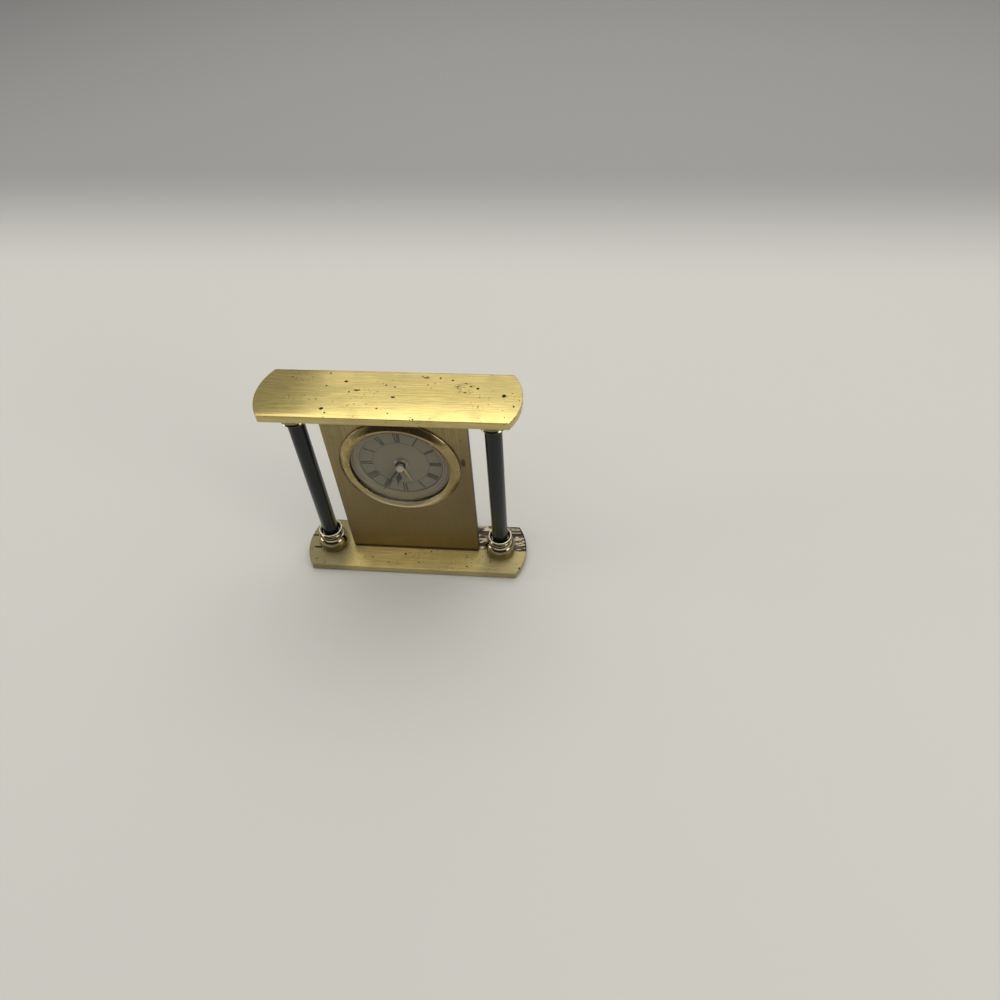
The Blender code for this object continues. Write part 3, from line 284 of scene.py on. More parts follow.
def eased(points, radius, closed=False):
    """The same outline with its sharp corners rounded."""
    corners = [Vector(point) for point in points]
    result = []
    for index, corner in enumerate(corners):
        into = corners[index - 1] - corner
        out = corners[(index + 1) % len(corners)] - corner
        at_end = not closed and index in (0, len(corners) - 1)
        if at_end or into.angle(-out) < radians(25):
            result.append(corner)
            continue
        start = corner + into.normalized() * min(radius, 0.45 * into.length)
        end = corner + out.normalized() * min(radius, 0.45 * out.length)
        for share in shares(3, 0):
            result.append(start * (1 - share) ** 2 + corner * 2 * share * (1 - share) + end * share ** 2)
    return [tuple(point) for point in result]


def lathe(profile, sides, closed=False):
    """A profile of (radius, height) points turned about Z."""
    work = bmesh.new()
    rings = []
    for radius, height in profile:
        count = 1 if radius < 0.001 * mm else sides
        turns = [tau * side / sides for side in range(count)]
        rings.append([work.verts.new((radius * cos(turn), radius * sin(turn), height)) for turn in turns])
    pairs = list(zip(rings, rings[1:])) + ([(rings[-1], rings[0])] if closed else [])
    for upper, lower in pairs:
        for side in range(sides if len(upper) + len(lower) > 2 else 0):
            after = (side + 1) % sides
            face = (upper[side % len(upper)], upper[after % len(upper)],
                    lower[after % len(lower)], lower[side % len(lower)])
            work.faces.new(dict.fromkeys(face))
    return settled(work)


def drum(radius, low, high, sides):
    return lathe(eased([(0, high), (radius, high), (radius, low), (0, low)], 0.01 * mm), sides)


def slab(outline, low, high, edge, steps=3):
    """An outline as a plate between two heights, with rounded edges."""
    work = bmesh.new()
    base = work.faces.new([work.verts.new((across, up, low)) for across, up in outline])
    lifted = bmesh.ops.extrude_face_region(work, geom=[base])["geom"]
    bmesh.ops.translate(work, verts=[item for item in lifted if isinstance(item, bmesh.types.BMVert)],
                        vec=(0, 0, high - low))
    bmesh.ops.recalc_face_normals(work, faces=work.faces)
    sharp = [rim for rim in work.edges if rim.calc_face_angle(0.0) > radians(40)]
    bmesh.ops.bevel(work, geom=sharp, offset=edge, segments=steps, profile=0.5, affect="EDGES",
                    clamp_overlap=True)
    return settled(work)


def plate(loops, low, high, edge=0.0):
    """An outline with holes as a plate between two heights."""
    curve = bpy.data.curves.new("outline", "CURVE")
    curve.dimensions = "2D"
    curve.fill_mode = "BOTH"
    curve.extrude = (high - low) / 2 - edge
    curve.bevel_depth = edge
    curve.offset = -edge
    curve.bevel_resolution = 1
    for loop in loops:
        spline = curve.splines.new("POLY")
        spline.points.add(len(loop) - 1)
        for point, (across, up) in zip(spline.points, loop):
            point.co = (across, up, 0, 1)
        spline.use_cyclic_u = True
    holder = placed("outline", curve)
    filled = plain_mesh(holder)
    bpy.data.objects.remove(holder)
    work = bmesh.new()
    work.from_mesh(filled)
    bmesh.ops.translate(work, verts=work.verts, vec=(0, 0, (high + low) / 2))
    return settled(work)


def block(left, right, low, high, back, front, edge):
    return slab([(left, low), (right, low), (right, high), (left, high)], back, front, edge, 2)


def circle(radius, sides, across=0.0, up=0.0):
    return [(across + radius * cos(tau * side / sides), up + radius * sin(tau * side / sides))
            for side in range(sides)]


def moved(mesh, across=0.0, up=0.0, turn=0.0):
    mesh.transform(Matrix.Translation((across, up, 0)) @ Matrix.Rotation(turn, 4, "Z"))
    return mesh


def dressed(mesh, finish):
    mesh.materials.clear()
    mesh.materials.append(finish)
    return mesh


def joined(*meshes):
    """Several meshes as one, each with the slot of its own finish."""
    work = bmesh.new()
    finishes = []
    for mesh in meshes:
        finish = mesh.materials[0] if mesh.materials else None
        if finish not in finishes:
            finishes.append(finish)
        start = len(work.faces)
        work.from_mesh(mesh)
        work.faces.ensure_lookup_table()
        for face in work.faces[start:]:
            face.material_index = finishes.index(finish)
    mesh = bpy.data.meshes.new("shape")
    work.to_mesh(mesh)
    work.free()
    for finish in finishes:
        mesh.materials.append(finish)
    return mesh


def carved(mesh, cutters):
    """A mesh with other meshes cut out of it."""
    holder = placed("carved", mesh)
    tools = []
    for cutter in cutters:
        tool = placed("cutter", cutter)
        modifier = holder.modifiers.new("cut", "BOOLEAN")
        modifier.operation = "DIFFERENCE"
        modifier.object = tool
        tools.append(tool)
    result = plain_mesh(holder)
    for used in (holder, *tools):
        bpy.data.objects.remove(used)
    work = bmesh.new()
    work.from_mesh(result)
    bmesh.ops.dissolve_degenerate(work, edges=work.edges, dist=0.0005 * mm)
    return settled(work)


def add(name, mesh, finish, replaced=(), body="stand"):
    """A finished mesh as a piece that moves with its body."""
    mesh.name = name
    piece = placed(name, dressed(mesh, finish) if finish else mesh)
    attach(piece, body)
    if replaced:
        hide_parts(*replaced)
    return piece


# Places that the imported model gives


def limits(node, axis):
    low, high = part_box(node)
    return low[axis], high[axis]


def span(node, axis):
    low, high = limits(node, axis)
    return high - low


def middle(node):
    low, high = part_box(node)
    return (low + high) / 2


face_height = middle("bezel").z


def on_face(mesh):
    """From face coordinates, with Z towards the viewer, to the clock's own."""
    mesh.transform(Matrix.Translation((0, 0, face_height)) @ Matrix.Rotation(pi / 2, 4, "X"))
    return mesh


def heights(node):
    """How far a node of the insert reaches towards the viewer: lowest and highest."""
    low, high = limits(node, 1)
    return -high, -low


def radius_of(node):
    return span(node, 0) / 2


# Finishes


def brass(name, color, roughness, grain_size, tarnish, specks):
    """Brushed brass: fine and coarse brush lines, dull patches and dark corrosion specks."""
    made = Finish(name, roughness, 0.8)
    fine = made.grain(grain_size, 3.0)
    coarse = made.grain(tuple(3.2 * side for side in grain_size), 3.0)
    patches = made.grain(11 * mm, 3.0, 0.6).fade(0.42, 0.72)
    lines = 0.55 * fine + 0.45 * coarse
    dark = tuple(0.72 * part for part in color)
    bright = tuple(min(1.0, 1.12 * part) for part in color)
    olive = (0.60 * color[0], 0.64 * color[1], 0.66 * color[2])
    metal = made.blend(lines.fade(0.38, 0.62), dark, bright)
    metal = made.blend(tarnish * patches, metal, olive)
    scratches = made.grain(tuple(part * side for part, side in zip((0.5, 2.0, 2.0), grain_size)), 1.0)
    metal = made.blend(0.45 * scratches.fade(0.66, 0.74), metal, dark)
    small = made.specks(1.0 * mm, 0.40 * specks, 0.14 * mm, 0.34 * mm)
    middling = made.specks(2.6 * mm, 0.20 * specks, 0.26 * mm, 0.62 * mm)
    wear_and_rim_highlight = made.grain(14 * mm, 1.0).fade(0.44, 0.54)
    return made, metal, (small * wear_and_rim_highlight).at_least(middling), lines, patches


def finish_brass(made, metal, marks, lines, patches, roughness):
    """Close a brass finish: its marks are dark, dull and sunk."""
    made.paint(made.blend(marks, metal, (0.022, 0.014, 0.007)),
               roughness + 0.12 * (lines - 0.5) + 0.06 * patches + 0.3 * marks)
    made.emboss(lines - 0.8 * marks, 0.005 * mm)
    return made.material


bar_color = (0.79, 0.625, 0.22)

# Pits by the height of their bar's top, as places (across, back) and half widths, in mm
bar_pits = {
    104.4: ((-18.6, 7.6, 0.75, 0.6), (-13.0, 2.4, 1.4, 0.4), (2.7, -1.3, 0.9, 0.5), (-25.1, -9.3, 0.75, 0.75),
            (36.6, 5.4, 0.6, 0.6), (47.6, 1.3, 0.8, 0.95), (52.0, -4.9, 0.4, 0.45), (12.9, -14.0, 0.4, 0.4),
            (-1.4, 5.9, 0.4, 0.4), (-16.0, 1.2, 0.35, 0.4), (-23.2, -11.6, 0.35, 0.45),
            (20.5, 11.3, 0.4, 0.5), (14.6, 11.2, 1.5, 0.3), (33.6, 6.6, 0.5, 0.35), (31.6, 2.6, 0.7, 0.3),
            (28.4, 6.2, 0.6, 0.35), (31.4, 8.2, 0.5, 0.3)),
    4.5: ((-53.0, 3.6, 2.0, 0.5), (-50.2, -3.9, 2.2, 0.6), (-4.9, -5.7, 0.6, 0.5), (-12.6, -11.1, 0.3, 0.4),
          (26.7, -11.7, 0.5, 0.4), (26.0, -6.2, 0.3, 0.3), (38.1, -8.2, 0.5, 0.3), (52.5, -11.2, 0.5, 0.5),
          (-49.3, -11.1, 0.5, 0.3)),
}


def bar_brass():
    made, metal, marks, lines, patches = brass("bar_brass", bar_color, 0.18, (8.0 * mm, 0.12 * mm, 0.12 * mm),
                                               0.4, 1.0)
    for height, pits in bar_pits.items():
        for across, back, wide, deep in pits:
            pit = made.spot((across * mm, back * mm, height * mm), (wide * mm, deep * mm, mm))
            marks = marks.at_least(pit)
    scribble = made.spot((31.4 * mm, 4.9 * mm, 104.4 * mm), (4.4 * mm, 3.8 * mm, 2 * mm))
    marks = marks.at_least(0.55 * scribble * made.grain(1.1 * mm, 2.0, 2.0).fade(0.52, 0.58))
    # The base is duller than the top, rougher and less metallic; its colour is darkened by painted shade,
    # most of all at its ends, more at the left end, and on its front face
    across, deep, up = made.parts_of(made.where)
    base = 1 - up.fade(10 * mm, 20 * mm)
    ends = base * abs(across).fade(26 * mm, 38 * mm)
    left = 1 - across.fade(-40 * mm, -20 * mm)
    front = base * (1 - deep.fade(-14.9 * mm, -14.3 * mm))
    # Painted shade at the ends of the base, deeper at the left end
    metal = made.blend((0.62 + 0.16 * left) * ends, metal, (0.15, 0.13, 0.07))
    # Painted shade on the front face of the base
    metal = made.blend((0.45 - 0.35 * ends) * front, metal, (0.12, 0.10, 0.055))
    # Painted shade: the side faces of both bars, and the underside of the top bar, darker and more olive than
    # the tops
    top_bar_side_shade = (1 - up.fade(104.0 * mm, 104.3 * mm)) * (1 - base)
    painted_side_shade = top_bar_side_shade + (1 - up.fade(4.15 * mm, 4.4 * mm)) * (1 - ends)
    metal = made.blend(0.38 * painted_side_shade, metal, (0.32, 0.27, 0.16))
    made.set("Metallic", 0.8 - 0.35 * base)
    # Corrosion over the rear right-hand corner of the base, in wavy bands
    edge = made.grain(2 * mm, 3.0) - 0.5
    low = 1 - up.fade(5 * mm, 6 * mm)
    corner = ((across + 4 * mm * edge).fade(28.5 * mm, 29.5 * mm)
              * (deep + 3 * mm * edge).fade(-0.9 * mm, -0.3 * mm) * low)
    waves = made.grain((7 * mm, 1.6 * mm, 5 * mm), 1.0, 1.2)
    pale = made.blend(made.grain(1.2 * mm, 2.0).fade(0.4, 0.6), (0.42, 0.36, 0.20), (0.54, 0.49, 0.35))
    metal = made.blend(corner, metal, made.blend(waves.fade(0.515, 0.565), (0.085, 0.062, 0.03), pale))
    marks = marks.at_least(0.85 * corner * (1 - waves.fade(0.38, 0.46)))
    # Painted shade in the joint before the panel, and dirt along the right-hand bow of the base
    panel = limits("face_panel", 1)[0]
    joint_shade = (deep.fade(panel - 0.8 * mm, panel - 0.4 * mm) * (1 - deep.fade(panel + 1 * mm, panel + 2 * mm))
             * (1 - abs(across).fade(31.0 * mm, 31.3 * mm)) * low)
    bow_centre = 28.65 * mm
    bow = across - bow_centre
    rim = (bow * bow + deep * deep).fade((25.7 * mm) ** 2, (26.0 * mm) ** 2) * corner
    marks = marks.at_least(0.85 * joint_shade).at_least(0.8 * rim)
    return finish_brass(made, metal, marks, lines, patches, 0.18 + 0.24 * base)


def panel_brass():
    made, metal, marks, lines, patches = brass("panel_brass", (0.345, 0.275, 0.128), 0.36,
                                               (0.13 * mm, 0.13 * mm, 12 * mm), 0.3, 0.3)
    across, up = made.parts_of(made.where)[::2]
    # Painted reflection: the panel darker towards the bottom, where it mirrors the base bar
    metal = made.blend(0.85 * (1 - up.fade(20 * mm, 96 * mm)), metal, (0.20, 0.147, 0.064))
    # Painted shade over the right-hand part of the panel, fading out towards the top
    painted_shade = across.fade(14 * mm, 29 * mm) * (1 - up.fade(62 * mm, 90 * mm))
    metal = made.blend(0.6 * painted_shade, metal, (0.17, 0.13, 0.06))
    half = limits("face_panel", 0)[1]
    # Painted shade: dark lines along the panel's side edges and along its foot on the base
    painted_edge_shade = abs(across).fade(half - 0.22 * mm, half - 0.08 * mm).at_least(1 - up.fade(5.5 * mm, 5.9 * mm))
    metal = made.blend(0.85 * painted_edge_shade, metal, (0.030, 0.022, 0.012))
    scar = made.spot((28.5 * mm, -1.5 * mm, 67.5 * mm), (1.0 * mm, mm, 2.4 * mm))
    return finish_brass(made, metal, marks.at_least(0.6 * scar), lines, patches, 0.36)


def polished_brass():
    """Turned brass, tarnished, with a painted highlight band round the rim of the lower collars."""
    made = Finish("polished_brass", 0.11, 1.0)
    smudges = made.grain(5 * mm, 4.0, 1.0).fade(0.45, 0.75)
    up = made.parts_of(made.where)[2]
    rim = limits("collar_lower_left", 2)[1]
    # Painted highlight: a bright, pale, half-metallic band round the rim of the lower collars
    wear_and_rim_highlight = up.fade(rim - 1.0 * mm, rim - 0.6 * mm) * (1 - up.fade(rim + 1 * mm, rim + 2 * mm))
    dull = made.blend(smudges, (0.285, 0.240, 0.142), (0.185, 0.150, 0.084))
    made.paint(made.blend(wear_and_rim_highlight, dull, (0.95, 0.86, 0.62)), 0.11 + 0.1 * smudges + 0.22 * wear_and_rim_highlight)
    made.set("Metallic", 1 - 0.5 * wear_and_rim_highlight)
    made.emboss(made.grain(0.8 * mm, 2.0), 0.002 * mm)
    return made.material


def bezel_brass():
    made = Finish("bezel_brass", 0.17, 1.0)
    smudges = made.grain(7 * mm, 4.0, 1.0).fade(0.42, 0.7)
    rub = made.grain(0.35 * mm, 2.0)
    across, up = made.parts_of(made.where)[::2]
    metal = made.blend(smudges, (0.42, 0.335, 0.155), (0.33, 0.25, 0.108))
    # Painted shade: the right-hand side of the bezel darker
    metal = made.blend(0.7 * across.fade(14 * mm, 26 * mm), metal, (0.28, 0.22, 0.098))
    # Painted highlight: the lower part of the bezel lighter and paler
    low = 1 - up.fade(face_height - 24 * mm, face_height - 12 * mm)
    made.paint(made.blend(low, metal, (0.86, 0.75, 0.50)), 0.16 + 0.12 * smudges + 0.05 * rub + 0.14 * low)
    made.emboss(rub, 0.002 * mm)
    return made.material


def lacquer(name, color, roughness):
    made = Finish(name, roughness, Specular_IOR_Level=0.36)
    scuffs = made.grain((0.5 * mm, 0.5 * mm, 9 * mm), 3.0)
    dust = made.specks(1.6 * mm, 0.25, 0.03 * mm, 0.09 * mm)
    paint = made.blend(scuffs.fade(0.3, 0.75), color, tuple(1.25 * part + 0.001 for part in color))
    made.paint(made.blend(0.5 * dust, paint, (0.16, 0.16, 0.15)),
               roughness + 0.05 * (scuffs - 0.5) + 0.2 * dust)
    made.emboss(made.grain(0.35 * mm, 3.0), 0.004 * mm)
    return made.material


def moulded(name, color, roughness, grain_size=0.22 * mm, depth=0.012 * mm, vary=0.12):
    """Moulded plastic with a fine even grain and slightly uneven colour."""
    made = Finish(name, roughness)
    grain = made.grain(grain_size, 2.0)
    cloud = made.grain(9 * mm, 2.0)
    low = tuple((1 - vary) * part for part in color)
    high = tuple((1 + vary) * part for part in color)
    made.paint(made.blend(0.5 * grain + 0.5 * cloud, low, high), roughness + 0.12 * (grain - 0.5))
    made.emboss(grain, depth)
    return made.material


def felt_cloth():
    made = Finish("felt_cloth", 0.95)
    fibres = made.grain(0.25 * mm, 4.0, 2.5)
    tufts = made.grain(1.6 * mm, 3.0)
    made.paint(made.blend(0.6 * fibres + 0.4 * tufts, (0.012, 0.020, 0.014), (0.055, 0.080, 0.058)))
    made.emboss(fibres, 0.12 * mm)
    return made.material


def plain_metal(name, color, roughness, grain_size, vary=0.18):
    made = Finish(name, roughness, 1.0)
    lines = made.grain(grain_size, 3.0)
    low = tuple((1 - vary) * part for part in color)
    made.paint(made.blend(lines, low, color), roughness + 0.15 * (lines - 0.5))
    made.emboss(lines, 0.003 * mm)
    return made.material


def clear_lens():
    """A clear lens: bare at the middle, brighter reflections towards its rim."""
    made = Finish("clear_lens", 0.03, 1.0, IOR=1.49)
    made.paint((0.96, 0.97, 0.95), 0.03 + 0.03 * made.grain(6 * mm, 3.0).fade(0.5, 0.8))
    facing = made.node("ShaderNodeLayerWeight", {"Blend": 0.5}, "Facing")
    gloss = 0.02 + 0.8 * facing * facing * facing * facing * facing
    clear = made.node("ShaderNodeBsdfTransparent")
    shine = Field(made, made.shader.outputs[0])
    mixed = made.node("ShaderNodeMixShader", {0: gloss, 1: clear, 2: shine})
    made.tree.links.new(mixed.socket, made.tree.nodes["Material Output"].inputs["Surface"])
    return made.material


def dial_paint():
    made = Finish("dial_paint", 0.5)
    fibre = made.grain((1.2 * mm, 0.2 * mm, 0.2 * mm), 3.0)
    age = made.grain(8 * mm, 3.0)
    made.paint(made.blend(0.5 * fibre + 0.5 * age, (0.20, 0.177, 0.108), (0.24, 0.212, 0.132)),
               0.48 + 0.1 * fibre)
    made.emboss(made.grain(0.12 * mm, 2.0), 0.002 * mm)
    return made.material


def board_green():
    made = Finish("board_green", 0.4)
    traces = made.cells(1.4 * mm, "Distance").fade(0.40, 0.46)
    made.paint(made.blend(traces, (0.02, 0.13, 0.055), (0.05, 0.24, 0.10)), 0.42 - 0.1 * traces)
    made.emboss(traces, 0.03 * mm)
    return made.material


def wound_copper():
    """Enamelled wire in turns along the coil."""
    made = Finish("wound_copper", 0.3, 1.0)
    across = made.parts_of(made.where)[0]
    wire = 0.09 * mm
    turns = made.sum("PINGPONG", across, wire) / wire
    made.paint(made.blend(turns, (0.36, 0.12, 0.05), (0.80, 0.34, 0.15)), 0.3 + 0.1 * turns)
    made.emboss(turns, 0.05 * mm)
    return made.material


def make_finishes():
    return {
        "bars": bar_brass(),
        "panel": panel_brass(),
        "collars": polished_brass(),
        "bezel": bezel_brass(),
        "columns": lacquer("column_lacquer", (0.005, 0.0080, 0.0085), 0.24),
        "felt": felt_cloth(),
        "steel": plain_metal("turned_steel", (0.62, 0.62, 0.60), 0.3, (0.2 * mm, 0.2 * mm, 3 * mm)),
        "lens": clear_lens(),
        "dial": dial_paint(),
        "ink": moulded("dial_ink", (0.020, 0.019, 0.012), 0.5, 0.1 * mm, 0.002 * mm),
        "ring": moulded("ring_satin", (0.25, 0.21, 0.132), 0.16, 0.3 * mm, 0.004 * mm, 0.1),
        "hands": lacquer("hand_lacquer", (0.010, 0.010, 0.010), 0.36),
        "gilt": plain_metal("gilt_metal", (0.80, 0.61, 0.24), 0.26, 0.25 * mm),
        "cap": moulded("cap_cream", (0.50, 0.42, 0.30), 0.35, 0.3 * mm, 0.003 * mm, 0.06),
        "case": moulded("case_black", (0.020, 0.020, 0.021), 0.46),
        "rubber": moulded("grip_rubber", (0.022, 0.022, 0.021), 0.78, 0.15 * mm, 0.02 * mm, 0.25),
        "white": moulded("movement_white", (0.68, 0.68, 0.64), 0.5),
        "gear": moulded("gear_white", (0.80, 0.80, 0.75), 0.38, 0.3 * mm, 0.004 * mm, 0.05),
        "magnet": plain_metal("sintered_magnet", (0.13, 0.13, 0.14), 0.45, 0.15 * mm, 0.4),
        "copper": wound_copper(),
        "board": board_green(),
        "cell": plain_metal("plated_steel", (0.68, 0.68, 0.67), 0.2, (0.3 * mm, 4 * mm, 0.3 * mm), 0.1),
    }


finishes = make_finishes()


# Stand


bar_corner_length = 101.7 * mm
tie_bore = 1.7 * mm


def bar_outline(length, depth, inset=0.0, steps=28):
    """A bar with straight long sides and bowed ends, as seen from above."""
    rise = (length - bar_corner_length) / 2
    half = depth / 2
    bow = (half ** 2 + rise ** 2) / (2 * rise)
    centre = length / 2 - bow
    radius = bow - inset
    spread = asin((half - inset) / radius)
    points = []
    for facing in (0, pi):
        for share in shares(steps, 0):
            angle = facing - spread + 2 * spread * share
            points.append((cos(facing) * centre + radius * cos(angle), radius * sin(angle)))
    return points


def make_bars():
    for node, name in (("base_plate", "base_bar"), ("top_plate", "top_bar")):
        (left, front, low), (right, back, high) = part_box(node)
        bar = slab(bar_outline(right - left, back - front), low, high, 0.35 * mm)
        drills = []
        for hole, radius, head in (("tie_screw", tie_bore, 3.2 * mm), ("panel_screw", 1.0 * mm, 1.8 * mm)):
            for side in ("left", "right"):
                across = middle(f"{hole}_{side}").x
                reach = low + (6 * mm if node == "base_plate" else 2.6 * mm)
                holes = [(radius, reach)]
                if node == "base_plate":
                    holes.append((head, low + 2.0 * mm))
                drills += [moved(drum(wide, low - 1 * mm, end, 32), across) for wide, end in holes]
        add(name, carved(bar, drills), finishes["bars"], (node,))


def make_pad():
    (left, front, low), (right, back, high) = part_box("felt_pad")
    length = span("base_plate", 0)
    inset = (length - (right - left)) / 2
    outline = bar_outline(length, span("base_plate", 1), inset, 20)
    pad = add("felt_sheet", slab(outline, low, high, 0.15 * mm), finishes["felt"], ("felt_pad",))


def collar_profile():
    """From the cup's floor over the rim and the neck, round a bead and the belly to the foot."""
    foot, belly, groove, bead, neck, rim = 6.9 * mm, 7.45 * mm, 5.15 * mm, 5.6 * mm, 4.95 * mm, 5.6 * mm
    belly_height, groove_height, neck_height = 3.0 * mm, 7.2 * mm, 9.4 * mm
    mouth, cup, floor = 5.1 * mm, 4.1 * mm, 8.2 * mm
    points = [(tie_bore, floor), (cup, floor), (cup, neck_height)]
    roll = (rim - mouth) / 2
    lip = span("collar_lower_left", 2) - roll
    for share in shares(8, 0):
        points.append((mouth + roll - roll * cos(pi * share), lip + roll * sin(pi * share)))
    for share in shares(8):
        points.append((neck + (rim - neck) * (1 - share) ** 2, lip - (lip - neck_height) * share))
    for share in shares(14):
        inner = neck + (groove - neck) * share
        points.append((inner + (bead - inner) * sin(pi * share) ** 0.8,
                       neck_height + (groove_height - neck_height) * share))
    for share in shares(20):
        points.append((groove + (belly - groove) * sin(pi / 2 * share),
                       belly_height + (groove_height - belly_height) * cos(pi / 2 * share)))
    for share in shares(12):
        points.append((foot + (belly - foot) * cos(pi / 2 * share), belly_height * (1 - sin(pi / 2 * share))))
    return points + [(tie_bore, 0)]


def make_columns():
    for side in ("left", "right"):
        across = middle(f"column_{side}").x
        low, high = limits(f"column_{side}", 2)
        radius = radius_of(f"column_{side}")
        profile = eased([(tie_bore, high), (radius, high), (radius, low), (tie_bore, low)], 0.2 * mm)
        add(f"column_tube_{side}", moved(lathe(profile, 72, True), across), finishes["columns"],
            (f"column_{side}",))
    foot = limits("collar_lower_left", 2)[0]
    head = limits("collar_upper_left", 2)[1]
    collars = collar_pattern().grow(lathe(collar_profile(), 96, True), Spread=across, Foot=foot, Head=head,
                                    Finish=finishes["collars"])
    add("collars", collars, None,
        [f"collar_{level}_{side}" for level in ("lower", "upper") for side in ("left", "right")])


# Front of the insert


def make_bezel():
    low, high = heights("bezel")
    back = -limits("face_panel", 1)[0] + 0.2 * mm
    edge = radius_of("bezel")
    opening, seat, ridge, skirt = 22.3 * mm, 23.4 * mm, 24.1 * mm, 24.6 * mm
    seat_height = 2.8 * mm
    rim_height = back + 0.6 * mm
    profile = eased([(opening, seat_height), (opening, high - 0.85 * mm),
                     (ridge - 0.35 * mm, high - 0.02 * mm), (ridge, high)], 0.12 * mm)
    for share in shares(15)[:-1]:
        profile.append((ridge + (edge - ridge) * share, high - (high - rim_height) * share ** 1.35))
    profile += eased([profile[-1], (edge, rim_height), (edge, back), (skirt, back), (skirt, low),
                      (ridge, low), (ridge, 1.2 * mm), (seat, 1.4 * mm), (seat, seat_height),
                      (opening, seat_height)], 0.14 * mm)[1:-1]
    add("bezel_ring", on_face(lathe(profile, 128, True)), finishes["bezel"], ("bezel",))


def make_lens():
    low, high = heights("lens")
    flange = radius_of("lens")
    thick = 1.2 * mm
    rise = high - low - thick
    domes = []
    for radius, base in ((22.1 * mm, low + thick), (21.5 * mm, low)):
        ball = (radius ** 2 + rise ** 2) / (2 * rise)
        outs = [radius * share for share in shares(14, 0)]
        domes.append([(out, base + rise - ball + sqrt(ball ** 2 - out ** 2)) for out in outs])
    profile = domes[0] + [(flange, low + thick), (flange, low)] + domes[1][::-1]
    add("lens_dome", on_face(lathe(profile, 128)), finishes["lens"], ("lens",))


hour_ring = 12.7 * mm
outer_ring = 18.7 * mm


def stroke(start, end, width, height):
    """A straight stroke of ink from one point to another."""
    along = Vector(end) - Vector(start)
    side = Vector((-along.y, along.x)).normalized() * width / 2
    corners = [Vector(start) + side, Vector(start) - side, Vector(end) - side, Vector(end) + side]
    return slab([tuple(corner) for corner in corners][::-1], height, height + 0.03 * mm, 0.005 * mm, 1)


def numeral(letters, hour, height):
    """A Roman numeral that stands on the hour ring and reads from the middle outwards."""
    foot = hour_ring + 0.35 * mm
    top = 18.1 * mm
    thick = 0.56 * mm
    thin = 0.14 * mm
    serif = 0.32 * mm
    widths = {"I": 0.76 * mm, "V": 1.45 * mm, "X": 1.55 * mm}
    place = -sum(widths[letter] for letter in letters) / 2
    marks = []
    for letter in letters:
        wide = widths[letter]
        centre = place + wide / 2
        left = place + 0.3 * mm
        right = place + wide - 0.3 * mm
        if letter == "I":
            marks.append(stroke((centre, foot), (centre, top), thick, height))
            ends = [(centre, foot), (centre, top)]
        if letter == "V":
            marks.append(stroke((centre + 0.05 * mm, foot), (left, top), thick, height))
            marks.append(stroke((centre + 0.15 * mm, foot), (right + 0.05 * mm, top), thin, height))
            ends = [(left, top), (right + 0.05 * mm, top)]
        if letter == "X":
            marks.append(stroke((right, foot), (left, top), thick, height))
            marks.append(stroke((left, foot), (right, top), thin, height))
            ends = [(left, foot), (right, foot), (left, top), (right, top)]
        for across, level in ends:
            marks.append(stroke((across - serif, level), (across + serif, level), 0.07 * mm, height))
        place += wide
    return moved(joined(*marks), turn=-tau * hour / 12)


def make_dial():
    low, high = heights("dial")
    outer = radius_of("dial")
    disc = plate([circle(outer, 128), circle(3.1 * mm, 64)], low, high)
    add("dial_disc", on_face(disc), finishes["dial"], ("dial",))
    ink = high + 0.005 * mm
    marks = [plate([circle(radius + width / 2, 128), circle(radius - width / 2, 128)], ink, ink + 0.03 * mm)
             for radius, width in ((hour_ring, 0.16 * mm), (outer_ring, 0.17 * mm))]
    for hour, letters in enumerate("XII I II III IIII V VI VII VIII IX X XI".split()):
        marks.append(numeral(letters, hour, ink))
    add("dial_print", on_face(joined(*marks)), finishes["ink"])
    bush_low, bush_high = heights("dial_bush")
    bush = radius_of("dial_bush")
    profile = eased([(bush, bush_high), (bush, bush_low), (bush - 0.5 * mm, bush_low),
                     (bush - 0.5 * mm, bush_high)], 0.12 * mm, closed=True)
    add("dial_eyelet", on_face(lathe(profile, 64, True)), finishes["steel"], ("dial_bush",))
    ring_low, ring_high = heights("dial_ring")
    ring = radius_of("dial_ring")
    opening = 18.9 * mm
    profile = [(ring, ring_high), (ring, ring_low), (opening, ring_low), (opening, ring_low + 0.3 * mm)]
    for share in shares(40)[:-1]:
        ridge = 0.16 * mm * max(0, 1 - abs(share - 0.3) / 0.07, 1 - abs(share - 0.75) / 0.05)
        profile.append((opening + (ring - 0.3 * mm - opening) * share,
                        ring_low + 0.3 * mm + (ring_high - ring_low - 0.3 * mm) * share ** 1.15 + ridge))
    profile.append((ring - 0.3 * mm, ring_high))
    add("dial_slope", on_face(lathe(profile, 128, True)), finishes["ring"], ("dial_ring",))


def hand_outline(hub, right):
    """A hand at twelve: a round hub and, on each side, the given points from the stem to the tip."""
    start = asin(right[0][0] / hub)
    left = [(-across, up) for across, up in reversed(right)]
    turns = [pi / 2 + start + (tau - 2 * start) * share for share in shares(40, 0)]
    return right + left + [(hub * cos(turn), hub * sin(turn)) for turn in turns]


def spade_side(length, widest_at, half_width):
    """One side of a spade hand: slim stem, round shoulders, a hollow fall and a needle point."""
    stem = 0.4 * mm
    tip = 0.08 * mm
    shoulder = 1.25
    fall = 1.9
    side = [(stem, widest_at - shoulder * half_width)]
    for share in shares(12):
        side.append((stem + (half_width - stem) * sin(pi / 2 * share),
                     widest_at - shoulder * half_width * cos(pi / 2 * share)))
    for share in shares(14):
        side.append((stem + (half_width - stem) * (1 + cos(pi * share)) / 2,
                     widest_at + fall * half_width * share))
    return side + [(tip, length)]


